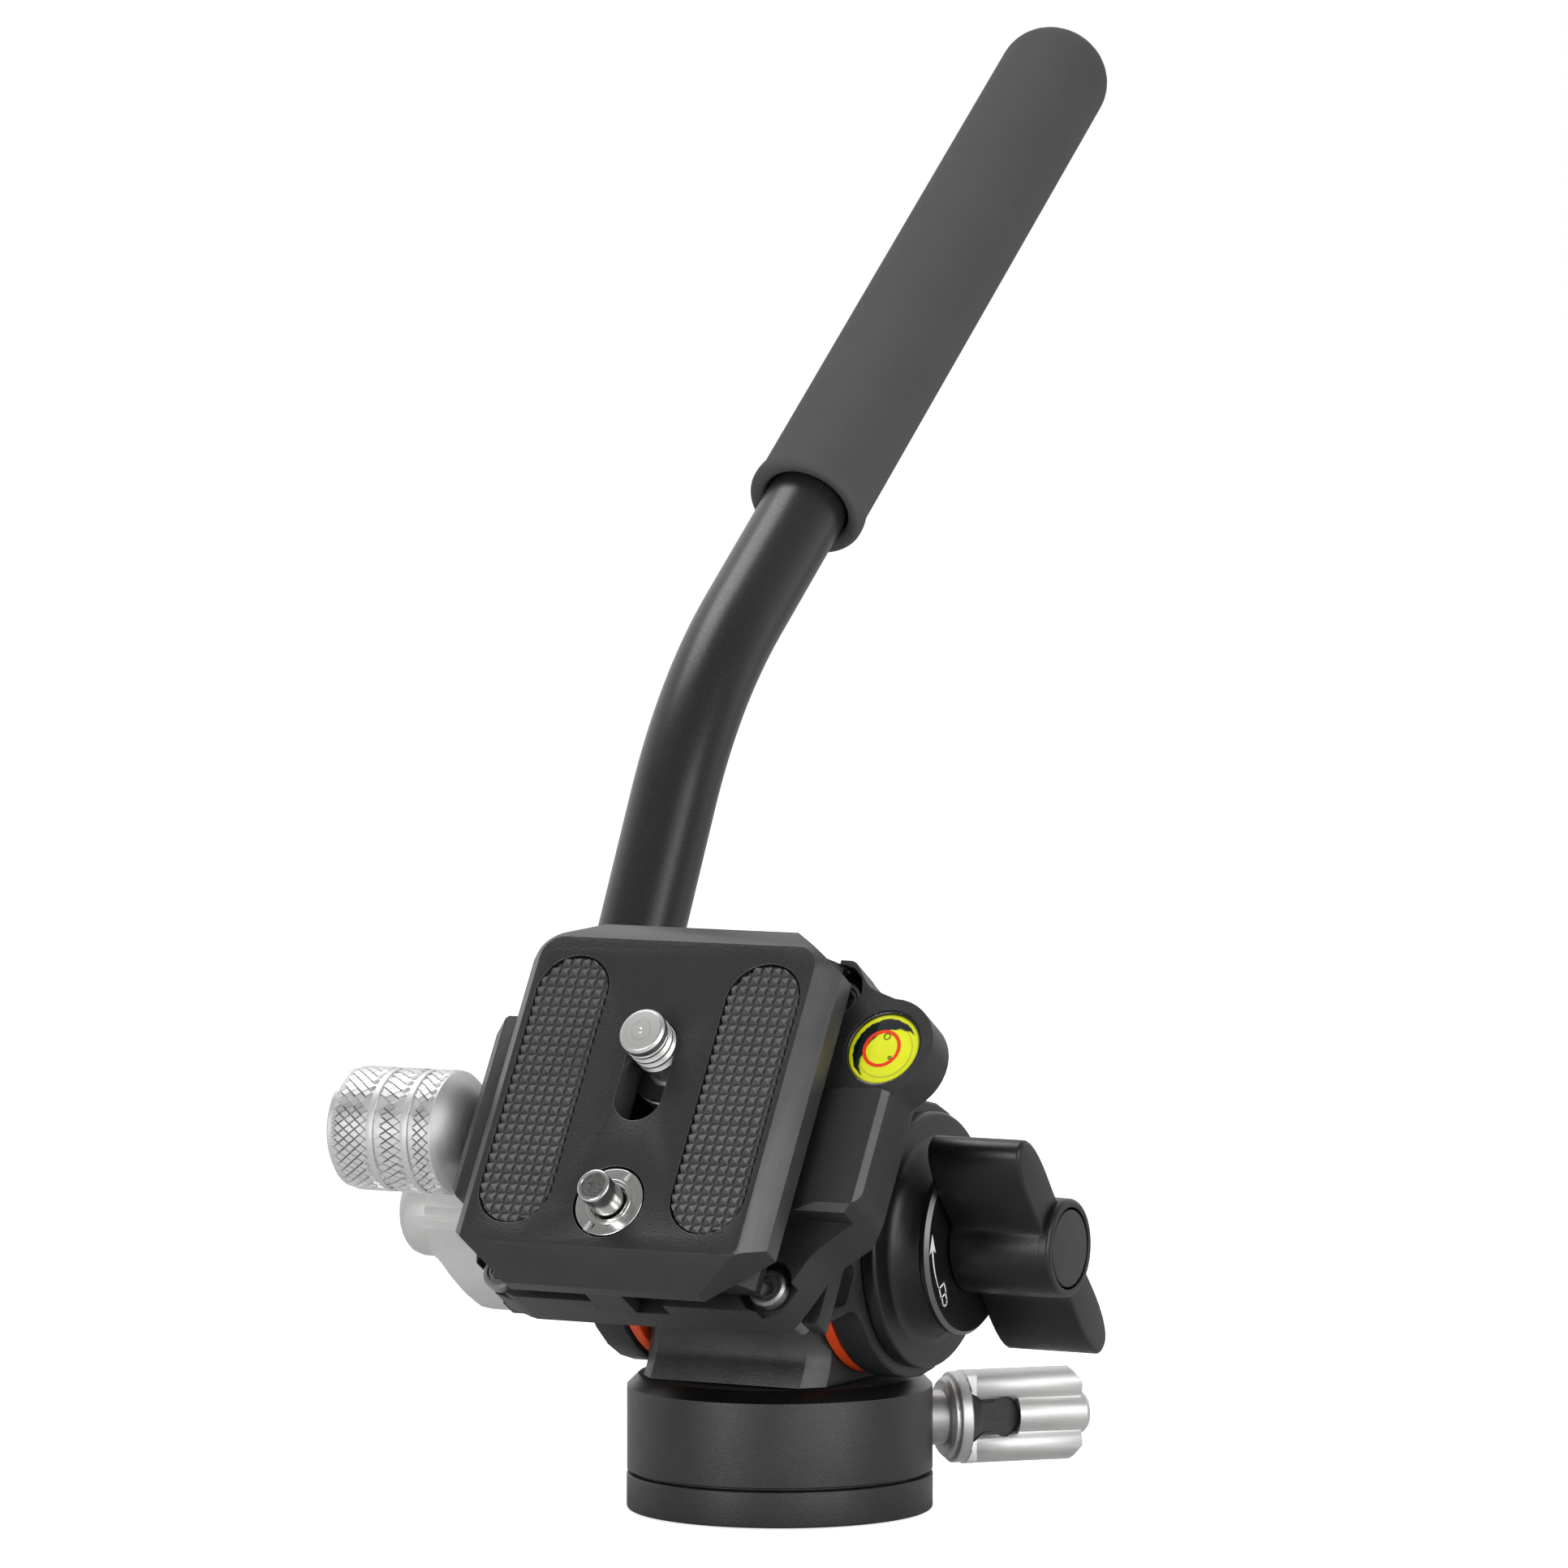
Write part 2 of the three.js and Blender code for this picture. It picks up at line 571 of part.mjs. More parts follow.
function cheekPieces() {
  return pair('cheek', (name, sign) => {
    const [from, to] = sided(sign, cheekInner, cheekOuter);
    const [footFrom, footTo] = sided(sign, cheekInner, cheekInner + cheek.footWidth);
    const [pocketFrom, pocketTo] = sided(sign, cheekOuter - cheek.pocketDepth, cheekOuter + overrun);
    const plateBody = join(
      prism(cheekOutline(), from, to, 'right', gap),
      block([footFrom, footTo], [-cheek.frontReach, cheek.rearReach],
        [cheekTop - cheek.footHeight, cheekTop]),
    );
    const drilled = cornerScrewPlaces().filter(([x]) => x * sign > 0).map(([x, y]) => (
      rod(cornerScrew.shankRadius + gap, cornerScrew.seat - cornerScrew.threadLength - gap,
        cheekTop + overrun, 'up', holeSteps)
        .translate(x, y, 0)));
    const reach = cheekOuter + overrun;
    const bore = rod(lockScrew.radius + gap, ...sided(sign, 0, reach), 'right', holeSteps);
    const pocket = prism(cheekPocket(), pocketFrom, pocketTo, 'right');
    return mesh(name, cut(plateBody, pocket, bore, ...drilled), blackAnodised);
  });
}

// Right cover, dial and tilt lock knob
const coverStart = cheekOuter + gap;
const coverRimEnd = coverStart + cover.rimLength;
const coverEnd = coverRimEnd + cover.bossLength;
const dialStart = coverEnd + gap;
const dialEnd = dialStart + dial.thickness;
const knobStart = dialEnd + gap;

function rightCover() {
  const bore = lockScrew.radius + gap;
  return mesh('right_cover', join(turned([
    [bore, coverStart], [coverRadius, coverStart], [coverRadius, coverRimEnd - cover.edge],
    [coverRadius - cover.edge, coverRimEnd], [cover.bossBase, coverRimEnd],
    [cover.bossWaist, (coverRimEnd + coverEnd) / 2, cover.bossLength / 2], [cover.bossTop, coverEnd],
    [bore, coverEnd],
  ], 'right')), blackAnodised);
}

function lockDial() {
  const bore = lockScrew.radius + gap;
  return mesh('tilt_lock_dial', join(turned([
    [bore, dialStart], [dial.radius, dialStart], [dial.radius, dialEnd - dial.edge],
    [dial.radius - dial.edge, dialEnd], [bore, dialEnd],
  ], 'right')), blackAnodised);
}

function tiltLockKnob() {
  const wingEnd = knobStart + tiltWing.length;
  const hubEnd = knobStart + tiltWing.hubLength;
  const wings = prism(
    wingOutline(tiltWing.hubRadius, tiltWing.reach, tiltWing.power,
      (tiltWing.lean - tilt.photoAngle) * degree, rimSteps),
    knobStart, wingEnd, 'right', tiltWing.edge);
  const hub = turned([
    [0, knobStart], [tiltWing.hubRadius, knobStart], [tiltWing.hubRadius, hubEnd - tiltWing.edge],
    [tiltWing.hubRadius - tiltWing.edge, hubEnd], [0, hubEnd],
  ], 'right', barSteps);
  const capSeat = rod(knobCap.radius + gap, hubEnd - knobCap.thickness - gap, hubEnd + overrun, 'right',
    barSteps);
  const socket = rod(lockScrew.radius + gap, knobStart - overrun, knobStart + lockScrew.grip + gap,
    'right', holeSteps);
  return mesh('tilt_lock_knob', cut(join(wings, hub), capSeat, socket), blackAnodised);
}

function tiltKnobCap() {
  const hubEnd = knobStart + tiltWing.hubLength;
  return mesh('tilt_knob_cap', join(rod(knobCap.radius, hubEnd - knobCap.thickness, hubEnd, 'right')),
    silverAnodised);
}

function tiltLockScrew() {
  const body = join(rod(lockScrew.radius, axleEnd - lockScrew.grip, knobStart + lockScrew.grip, 'right',
    holeSteps));
  return mesh('tilt_lock_screw', body, steel);
}

// Platform. Outlines are drawn as [x, y] with the front at minus y.
function cornerScrewPlaces() {
  const { x, front, back } = cornerScrew;
  return [[x, -front], [-x, -front], [x, back], [-x, back]];
}

function platformOutline() {
  const { left, front, rear, right, cornerRound, smallRound } = platform;
  return [
    [-left, -front, cornerRound], [platform.shoulderX, -front, platform.shoulderRound],
    [platform.bendX, -platform.bendY, platform.bendRound], [right, -platform.cheekY, platform.cheekRound],
    [right, platform.rearTurn, platform.rearRound], [shelf.bendX, shelf.bendY, shelf.bendRound],
    [shelf.armX, rear, smallRound], [-left, rear, cornerRound],
  ];
}

function shelfOutline() {
  const { armX, armRound, bendX, bendY, bendRound, joinX } = shelf;
  return [
    [0, platform.jawRear], [0, platform.rear], [armX, platform.rear, armRound], [bendX, bendY, bendRound],
    [joinX, bossLevel.back + bossLevel.radius, overrun], [bossLevel.x + bossLevel.radius, bossLevel.back],
    [platform.right, platform.jawRear],
  ];
}

// The jaws grip the plate's dovetail with this section, drawn as [distance from the middle, height].
function gripEdge() {
  const shoulder = dovetail.bottom + dovetail.flangeHeight;
  const slope = (dovetail.flangeHalf - dovetail.neckHalf) / (plate.top - plate.slab - shoulder);
  const lipAt = platform.jawLip;
  const lip = dovetail.flangeHalf - slope * (lipAt - shoulder) + lipGap;
  return [[dovetail.flangeHalf + slidingGap, shoulder - slidingGap], [lip, lipAt]];
}

function platformBody() {
  const [[gripBase, gripStart], [gripLip, gripTop]] = gripEdge();
  const { bottom, floor, left, front, rear, right } = platform;
  const { jawTop, jawFront, jawRear, jawChamfer, jawRecess, endChamfer } = platform;
  const slab = prism(platformOutline(), bottom, floor);
  const jawProfile = prism([
    [gripBase, floor - overrun], [right, floor - overrun], [right, jawTop - jawChamfer],
    [right - jawChamfer, jawTop], [platform.jawInner, jawTop], [gripLip, gripTop], [gripBase, gripStart],
  ], -jawRear, jawFront, 'front');
  const jawEnds = prism([
    [-jawFront, floor - overrun], [jawRear, floor - overrun], [jawRear, jawTop + overrun],
    [-jawFront + endChamfer + overrun, jawTop + overrun], [-jawFront, jawTop - endChamfer],
  ], 0, right + overrun, 'right');
  const jawBlock = keep(keep(join(jawProfile), jawEnds),
    prism(platformOutline(), floor - overrun, jawTop + overrun));
  const ledge = prism(shelfOutline(), shelf.bottom, bossLevel.top);
  const boss = rod(bossLevel.radius, shelf.bottom, bossLevel.top, 'up', rimSteps)
    .translate(bossLevel.x, bossLevel.back, 0);
  const body = join(slab, ledge, boss).add(jawBlock);
  const levelBore = rod(bossLevel.boreRadius, bossLevel.top - bossLevel.depth, bossLevel.top + overrun,
    'up', barSteps)
    .translate(bossLevel.x, bossLevel.back, 0);
  const grip = dovetail.flangeHalf + slidingGap;
  const plateRoom = prism([
    [-grip, floor], [grip, floor], [grip, gripStart], [gripLip, gripTop], [gripLip, plate.top],
    [-grip, plate.top],
  ], -rear - overrun, front + overrun, 'front');
  const pockets = cornerScrewPlaces().flatMap(([x, y]) => [
    rod(cornerScrew.pocketRadius, cornerScrew.seat, platform.jawTop, 'up', holeSteps).translate(x, y, 0),
    rod(cornerScrew.shankRadius + gap, platform.bottom - overrun, cornerScrew.seat + overrun, 'up',
      holeSteps)
      .translate(x, y, 0),
  ]);
  const notch = block([-frontNotch.left, frontNotch.right],
    [-front - overrun, -front + frontNotch.depth], [frontNotch.floor, floor + overrun]);
  const jawRoom = block([-left - overrun, -jawRecess],
    [-jaw.front - platform.recessMargin, jaw.back + platform.recessMargin],
      [jaw.bottom - gap, floor + overrun]);
  const flank = prism([
    [right + overrun, bottom - overrun], [right + overrun, platform.flankHeight],
    [right, platform.flankHeight],
    [right - platform.flankInset, bottom], [right - platform.flankInset, bottom - overrun],
  ], -platform.bendY, platform.bendY, 'front');
  const pinBores = guidePinPlaces().map((y) => (
    rod(guidePin.radius + gap, -platform.jawRecess - overrun, guidePinStart + gap, 'right', holeSteps)
      .translate(0, y, clampHeight)));
  const screwBore = rod(clampScrew.radius + gap, -platform.jawRecess - overrun, clampScrewStart + gap,
    'right', holeSteps)
    .translate(0, -clampAxis.front, clampHeight);
  const shaped = cut(body, flank, levelBore, plateRoom, ...pockets, notch, jawRoom, ...pinBores, screwBore);
  const skirt = keep(shaped, platformSkirt());
  return mesh('clamp_base', skirt, blackAnodised);
}

// The lower edge of the platform is chamfered all round.
function platformSkirt() {
  const big = platform.right + bossLevel.radius + overrun;
  const lower = prism(platformOutline(), platform.bottom, platform.floor, 'up', platform.chamfer);
  const upper = block([-big, big], [-big, big], [platform.bottom + platform.chamfer, plate.top]);
  return geometryOf(join(lower, upper));
}

function cornerScrews() {
  const names = ['front_right', 'front_left', 'rear_right', 'rear_left'];
  const seat = cornerScrew.seat + gap;
  const top = seat + cornerScrew.headHeight;
  return cornerScrewPlaces().map(([x, y], i) => {
    const screw = turned([
      [0, cornerScrew.seat - cornerScrew.threadLength],
      [cornerScrew.shankRadius, cornerScrew.seat - cornerScrew.threadLength],
      [cornerScrew.shankRadius, seat], [cornerScrew.headRadius, seat],
      [cornerScrew.headRadius, top - cornerScrew.driveDepth],
      [cornerScrew.headRadius - cornerScrew.driveDepth, top], [0, top],
    ], 'up', holeSteps).translate(x, y, 0);
    const drive = prism(circle(x, y, cornerScrew.driveRadius, hexSides), top - cornerScrew.driveDepth,
      top + overrun);
    return mesh(`platform_screw_${names[i]}`, cut(join(screw), drive), steel);
  });
}

// Movable jaw, its guide pins, the clamp screw and the knurled knob
const guidePinStart = -platform.jawRecess + guidePin.length - jaw.travel;
const clampScrewStart = -clampScrew.reach;
const jawInner = -platform.jawRecess - gap;
const clampKnobStart = -jaw.outer - gap;
const bellEnd = clampKnobStart - clampKnob.bellLength;
const barrelEnd = bellEnd - clampKnob.barrelLength;

function guidePinPlaces() {
  return [-clampAxis.front - guidePin.spread, -clampAxis.front + guidePin.spread];
}

function movableJaw() {
  const [[gripBase, gripStart], [gripLip, gripTop]] = gripEdge();
  const profile = prism([
    [-jaw.outer, jaw.bottom], [jawInner, jaw.bottom], [jawInner, platform.floor + gap],
    [-gripBase, platform.floor + gap], [-gripBase, gripStart], [-gripLip, gripTop],
    [-jaw.inner, platform.jawTop],
    [-jaw.outer + jaw.chamfer, platform.jawTop], [-jaw.outer, platform.jawTop - jaw.chamfer],
  ], -jaw.back, jaw.front, 'front');
  const ends = prism([
    [-jaw.outer, -jaw.front + jaw.endChamfer], [-jaw.outer + jaw.endChamfer, -jaw.front], [0, -jaw.front],
    [0, jaw.back], [-jaw.outer + jaw.endChamfer, jaw.back], [-jaw.outer, jaw.back - jaw.endChamfer],
  ], jaw.bottom, platform.jawTop);
  const bar = keep(join(profile), ends);
  const bores = guidePinPlaces().map((y) => (
    rod(guidePin.radius + gap, -jaw.outer - overrun, jawInner + overrun, 'right', holeSteps)
      .translate(0, y, clampHeight)));
  const screwBore = rod(clampScrew.radius + gap, -jaw.outer - overrun, jawInner + overrun, 'right',
    holeSteps)
    .translate(0, -clampAxis.front, clampHeight);
  const holed = cut(bar, ...bores, screwBore);
  return mesh('movable_jaw', holed, blackAnodised);
}

function guidePins() {
  const end = -jaw.outer + gap;
  return guidePinPlaces().map((y, i) => mesh(`jaw_guide_pin_${i + 1}`, join(
    rod(guidePin.radius, end, guidePinStart, 'right', holeSteps).translate(0, y, clampHeight)), steel));
}

function clampScrewPiece() {
  const body = join(rod(clampScrew.radius, clampKnobStart - clampKnob.screwSocket + gap, clampScrewStart,
    'right', holeSteps)
    .translate(0, -clampAxis.front, clampHeight));
  return mesh('clamp_screw', body, steel);
}

function clampKnobPiece() {
  const { radius, bellDepth, bellLength, bellSteps, bandStarts, bandGap, bandDepth, endRound } = clampKnob;
  const { dishRadius, dishDepth } = clampKnob;
  const bell = Array.from({ length: bellSteps }, (_, i) => {
    const along = bellLength * (1 - i / bellSteps);
    return [radius * Math.sqrt(1 - (along / bellDepth) ** 2), bellEnd + along];
  });
  const grooves = bandStarts.flatMap((start) => {
    const at = bellEnd - start;
    const low = radius - bandDepth;
    return [[radius, at], [low, at], [low, at - bandGap], [radius, at - bandGap]];
  });
  const knob = join(turned([
    [0, clampKnobStart], ...bell, [radius, bellEnd], ...grooves,
    [radius, barrelEnd, endRound], [dishRadius, barrelEnd], [dishRadius - dishDepth, barrelEnd + dishDepth],
    [0, barrelEnd + dishDepth],
  ], 'right', rimSteps).translate(0, -clampAxis.front, clampHeight));
  const socket = rod(clampScrew.radius + gap, clampKnobStart - clampKnob.screwSocket,
    clampKnobStart + overrun, 'right', holeSteps)
    .translate(0, -clampAxis.front, clampHeight);
  return mesh('clamp_knob', cut(knob, socket), silverAnodised);
}

// Camera plate
function plateOutline() {
  const { halfWidth, front, rear, cornerAcross, cornerAlong } = plate;
  const inner = halfWidth - cornerAcross;
  return [
    [inner, -front], [halfWidth, -front + cornerAlong], [halfWidth, rear - cornerAlong], [inner, rear],
    [-inner, rear], [-halfWidth, rear - cornerAlong], [-halfWidth, -front + cornerAlong], [-inner, -front],
  ];
}

function plateSlab() {
  const bottom = plate.top - plate.slab;
  const reach = plate.halfWidth + plate.front;
  const { sideChamferWidth, sideChamferDepth, endChamferWidth, endChamferDepth } = plate;
  const slab = join(prism(plateOutline(), bottom, plate.top));
  const sides = [1, -1].map((sign) => prism([
    [sign * (plate.halfWidth - sideChamferWidth), plate.top],
    [sign * (plate.halfWidth + sideChamferWidth), plate.top - 2 * sideChamferDepth],
    [sign * (plate.halfWidth + sideChamferWidth), plate.top + overrun],
    [sign * (plate.halfWidth - sideChamferWidth), plate.top + overrun],
  ], -reach, reach, 'front'));
  const ends = [[-1, plate.front], [1, plate.rear]].map(([sign, length]) => prism([
    [sign * (length - endChamferWidth), plate.top],
    [sign * (length + endChamferWidth), plate.top - 2 * endChamferDepth],
    [sign * (length + endChamferWidth), plate.top + overrun],
    [sign * (length - endChamferWidth), plate.top + overrun],
  ], -reach, reach, 'right'));
  return cut(slab, ...sides, ...ends);
}

function cameraPlate() {
  const slabBottom = plate.top - plate.slab;
  const shoulder = dovetail.bottom + dovetail.flangeHeight;
  const rail = prism([
    [-dovetail.flangeHalf, dovetail.bottom], [dovetail.flangeHalf, dovetail.bottom],
    [dovetail.flangeHalf, shoulder],
    [dovetail.neckHalf, slabBottom], [dovetail.neckHalf, slabBottom + overrun],
    [-dovetail.neckHalf, slabBottom + overrun],
    [-dovetail.neckHalf, slabBottom], [-dovetail.flangeHalf, shoulder],
  ], -dovetail.rear, dovetail.front, 'front');
  const lugFront = -plate.front + stopLug.standOff;
  const lug = block([-stopLug.left, stopLug.right], [lugFront, lugFront + stopLug.thickness],
    [stopLug.bottom, slabBottom + overrun]);
  const body = plateSlab().add(join(rail)).add(join(lug));
  const slotCut = prism(stadium(0, -slot.front, slot.back, slot.halfWidth, holeSteps / 2),
    dovetail.bottom - overrun, plate.top + overrun);
  const widen = slot.headHalfWidth - slot.halfWidth;
  const headCut = prism(stadium(0, -slot.front - widen, slot.back + widen, slot.headHalfWidth,
    holeSteps / 2),
    dovetail.bottom - overrun, slot.ledge);
  const padCuts = [1, -1].map((sign) => prism(
    stadium(sign * pad.across, -pad.front - pad.fit, pad.back + pad.fit, pad.halfWidth + pad.fit,
      holeSteps / 2),
    plate.top - pad.depth, plate.top + overrun));
  const seatCut = rod(pinSeat.radius + gap, plate.top - pinSeat.sink - pinSeat.thickness - gap,
    plate.top + overrun)
    .translate(0, -pinSeat.front, 0);
  const pinBore = rod(videoPin.collarRadius + gap, pinSpring.bottom, plate.top + overrun, 'up', holeSteps)
    .translate(0, -pinSeat.front, 0);
  return mesh('camera_plate', cut(body, slotCut, headCut, ...padCuts, seatCut, pinBore), blackAnodised);
}

function platePads() {
  return pair('plate_pad', (name, sign) => mesh(name, join(prism(
    stadium(sign * pad.across, -pad.front, pad.back, pad.halfWidth, holeSteps / 2),
    plate.top - pad.depth + gap, plate.top + pad.proud)), rubber));
}

function cameraScrewPiece() {
  const headBottom = slot.ledge - gap - washerScrew.thickness - gap - cameraScrew.headHeight;
  const headTop = headBottom + cameraScrew.headHeight;
  const screw = join(turned([
    [0, headBottom], [cameraScrew.headRadius, headBottom], [cameraScrew.headRadius, headTop],
    [cameraScrew.radius, headTop], [cameraScrew.radius, cameraScrew.tip - cameraScrew.tipRound],
    [cameraScrew.radius - cameraScrew.tipRound, cameraScrew.tip], [0, cameraScrew.tip],
  ], 'up', barSteps).translate(0, cameraScrew.back, 0));
  const half = cameraScrew.slotWidth / 2;
  const reach = cameraScrew.headRadius + overrun;
  const coinSlot = block([-reach, reach], [cameraScrew.back - half, cameraScrew.back + half],
    [headBottom - overrun, headBottom + cameraScrew.slotDepth]);
  return mesh('camera_screw', cut(screw, coinSlot), steel);
}

function screwWasher() {
  const top = slot.ledge - gap;
  return mesh('camera_screw_washer', join(tubeRing(
    cameraScrew.radius + gap, washerScrew.outerRadius, top - washerScrew.thickness, top)
    .translate(0, cameraScrew.back, 0)), blackPlastic);
}

function pinSeatPiece() {
  const top = plate.top - pinSeat.sink;
  const disc = join(tubeRing(videoPin.radius + gap, pinSeat.radius, top - pinSeat.thickness, top)
    .translate(0, -pinSeat.front, 0));
  const half = pinSeat.slotWidth / 2;
  const reach = pinSeat.radius + overrun;
  const slots = [[-reach, -videoPin.radius - gap], [videoPin.radius + gap, reach]].map(([from, to]) => (
    block([from, to], [-half, half], [top - pinSeat.slotDepth, top + overrun])
      .rotateZ(pinSeat.slotTurn * degree).translate(0, -pinSeat.front, 0)));
  return mesh('video_pin_seat', cut(disc, ...slots), steel);
}

function videoPinPiece() {
  const collarTop = plate.top - pinSeat.sink - pinSeat.thickness - gap;
  const collarBottom = collarTop - videoPin.collarHeight;
  return mesh('video_pin', join(turned([
    [0, videoPin.tail], [videoPin.radius, videoPin.tail], [videoPin.radius, collarBottom],
    [videoPin.collarRadius, collarBottom], [videoPin.collarRadius, collarTop], [videoPin.radius, collarTop],
    [videoPin.radius, videoPin.tip - videoPin.tipRound],
    [videoPin.radius - videoPin.tipRound, videoPin.tip],
    [0, videoPin.tip],
  ], 'up', barSteps).translate(0, -pinSeat.front, 0)), steel);
}

function pinSpringPiece() {
  return mesh('video_pin_spring', join(tubeRing(
    pinSpring.innerRadius, pinSpring.outerRadius, pinSpring.bottom + gap, videoPin.tail - gap,
    'up', holeSteps)
    .translate(0, -pinSeat.front, 0)), steel);
}

function levelVial() {
  const bottom = bossLevel.top - bossLevel.depth + gap;
  return mesh('level_vial', join(turned([
    [0, bottom], [vial.radius, bottom], [vial.radius, bottom + vial.height - vial.dome],
    [vial.radius - vial.dome, bottom + vial.height], [0, bottom + vial.height],
  ], 'up', barSteps).translate(bossLevel.x, bossLevel.back, 0)), levelFluid);
}

// Handle. It is drawn with its lower tube along +Z and leaned back as a whole.
const leftCoverEnd = cheekOuter + gap + leftCover.length;
const hubOuter = -handle.plane - handle.hubHalf;
const hubInner = -handle.plane + handle.hubHalf;
const handleKnobStart = hubOuter - gap;
const bendStart = handle.straight - handle.bendLength;
const upperDirection = new THREE.Vector2(Math.sin(handle.bend * degree), Math.cos(handle.bend * degree));

function leftCoverPiece() {
  const bore = lockScrew.radius + gap;
  const start = -cheekOuter - gap;
  return mesh('left_cover', join(turned([
    [bore, start], [leftCover.radius, start], [leftCover.radius, -leftCoverEnd + leftCover.edge],
    [leftCover.radius - leftCover.edge, -leftCoverEnd], [bore, -leftCoverEnd],
  ], 'right')), blackAnodised);
}

function handleHub() {
  const disc = turned([
    [0, hubInner], [handle.hubRadius, hubInner, handle.hubRound],
    [handle.hubRadius, hubOuter, handle.hubRound], [0, hubOuter],
  ], 'right');
  const socket = rod(handle.socketRadius, 0, handle.socketEnd).translate(-handle.plane, 0, 0);
  const flats = handle.hubHalf;
  const neck = keep(join(socket), block([-handle.plane - flats, -handle.plane + flats],
    [-handle.hubRadius, handle.hubRadius], [0, handle.socketEnd]));
  const tubeBore = rod(handle.tubeRadius + gap, handle.tubeStart - gap, handle.socketEnd + overrun)
    .translate(-handle.plane, 0, 0);
  const screwBore = rod(lockScrew.radius + gap, hubOuter - overrun, hubInner + overrun, 'right', holeSteps);
  return mesh('handle_hub', cut(join(disc).add(neck), tubeBore, screwBore), blackAnodised);
}

// A point of the tube's middle line, from its distance along the handle
function tubeLine() {
  const up = (distance) => new THREE.Vector3(-handle.plane, 0, distance);
  const beyond = (distance) => new THREE.Vector3(
    -handle.plane, upperDirection.x * distance, handle.straight + upperDirection.y * distance);
  const bend = new THREE.QuadraticBezierCurve3(up(bendStart), up(handle.straight),
    beyond(handle.bendLength));
  const path = new THREE.CurvePath();
  path.add(new THREE.LineCurve3(up(handle.tubeStart), up(bendStart)));
  path.add(bend);
  path.add(new THREE.LineCurve3(beyond(handle.bendLength), beyond(handle.tubeTail)));
  return new THREE.CatmullRomCurve3(path.getSpacedPoints(handle.tubeSteps));
}

function handleTube() {
  const shape = new THREE.Shape(circle(0, 0, handle.tubeRadius, handle.tubeSides));
  shape.holes.push(new THREE.Path(circle(0, 0, handle.tubeBore, handle.boreSides)));
  const geometry = new THREE.ExtrudeGeometry(shape,
    { steps: handle.tubeSteps, extrudePath: tubeLine(), bevelEnabled: false });
  return mesh('handle_tube', join(geometry), blackAnodised);
}

function handleGrip() {
  const { start, length, radius, lip, lipLength, endRound, wallEnd } = grip;
  const bore = handle.tubeRadius + gap;
  const depth = Math.max(handle.tubeTail + gap, start + length - wallEnd);
  const sleeve = turned([
    [0, depth], [bore, depth], [bore, start], [radius, start, lip],
    [radius + lip, start + lipLength / 2, lip],
    [radius, start + lipLength, lip], [radius, start + length, endRound], [0, start + length],
  ], 'up', barSteps);
  const placed = sleeve.rotateX(-handle.bend * degree).translate(-handle.plane, 0, handle.straight);
  return mesh('handle_grip', join(placed), gripFoam);
}

function handleLockKnob() {
  const { reach, wingLength, hubRadius, hubLength, power } = handleKnob;
  const { shoulder, noseRound, flangeRadius, flangeLength } = handleKnob;
  const { tipRound } = handleKnob;
  const start = handleKnobStart;
  const wingStart = start - flangeLength;
  const wingEnd = wingStart - wingLength;
  const nose = start - hubLength;
  const wings = join(prism(
    wingOutline(hubRadius, reach, power, (handleKnob.lean + handle.lean) * degree, rimSteps),
      wingEnd - shoulder, wingStart, 'right'));
  const profile = turned([
    [0, wingStart], [reach + overrun, wingStart], [reach + overrun, wingEnd + tipRound],
    [reach, wingEnd + tipRound],
    [reach - tipRound, wingEnd], [hubRadius, wingEnd - shoulder, shoulder], [hubRadius, nose, noseRound],
    [0, nose],
  ], 'right');
  const core = turned([
    [0, start], [flangeRadius, start], [flangeRadius, wingStart], [hubRadius, wingStart],
    [hubRadius, nose, noseRound], [0, nose],
  ], 'right', barSteps);
  const socket = rod(lockScrew.radius + gap, start - lockScrew.grip - gap, start + overrun, 'right',
    holeSteps);
  const body = cut(join(core).add(keep(wings, profile)), socket);
  return mesh('handle_lock_knob', body, silverAnodised);
}

function handleLockScrew() {
  const body = join(rod(lockScrew.radius, handleKnobStart - lockScrew.grip, -axleEnd + lockScrew.grip,
    'right', holeSteps));
  return mesh('handle_lock_screw', body, steel);
}

// Assembly
function groupOf(pieces, position = [0, 0, 0], lean = 0) {
  const group = new THREE.Group();
  group.add(...pieces);
  group.position.set(...position);
  group.rotation.x = lean * degree;
  return group;
}

const head = new THREE.Group();
head.name = 'fluid_video_head';
head.add(groupOf([
  tripodBase(), tripodInsert(), panWasher(), panSpindle(), panNut(), panHousing(), ...saddleScrews(),
  panLockShoe(), panLockKnob(),
]));
head.add(groupOf([saddleBody(), ...tiltBushes(), ...frictionRings()], [0, 0, tiltHeight]));
head.add(groupOf([
  tiltAxle(), ...tiltDampers(), ...cheekPieces(), rightCover(), lockDial(), tiltLockKnob(),
  tiltKnobCap(), tiltLockScrew(), leftCoverPiece(), platformBody(), ...cornerScrews(), movableJaw(),
  ...guidePins(), clampScrewPiece(), clampKnobPiece(), cameraPlate(), ...platePads(),
  cameraScrewPiece(), screwWasher(), pinSeatPiece(), videoPinPiece(), pinSpringPiece(),
  levelVial(),
], [0, 0, tiltHeight], tilt.photoAngle));
head.add(groupOf([
  handleHub(), handleTube(), handleGrip(), handleLockKnob(), handleLockScrew(),
], [0, 0, tiltHeight], -handle.lean));

export default head;
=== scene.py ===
"""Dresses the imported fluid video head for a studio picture.

Every piece is made in millimetres in the frame of the sub-assembly it belongs to, then placed in the
row frame in metres. A piece that only needs a better surface is a cleaned copy of its CAD node, and
the pieces inside keep their CAD meshes.
"""

import logging
import math
from dataclasses import dataclass, replace
from enum import Enum, IntEnum
from typing import Callable, Iterable, Sequence

import bmesh
import bpy
from mathutils import Matrix, Vector


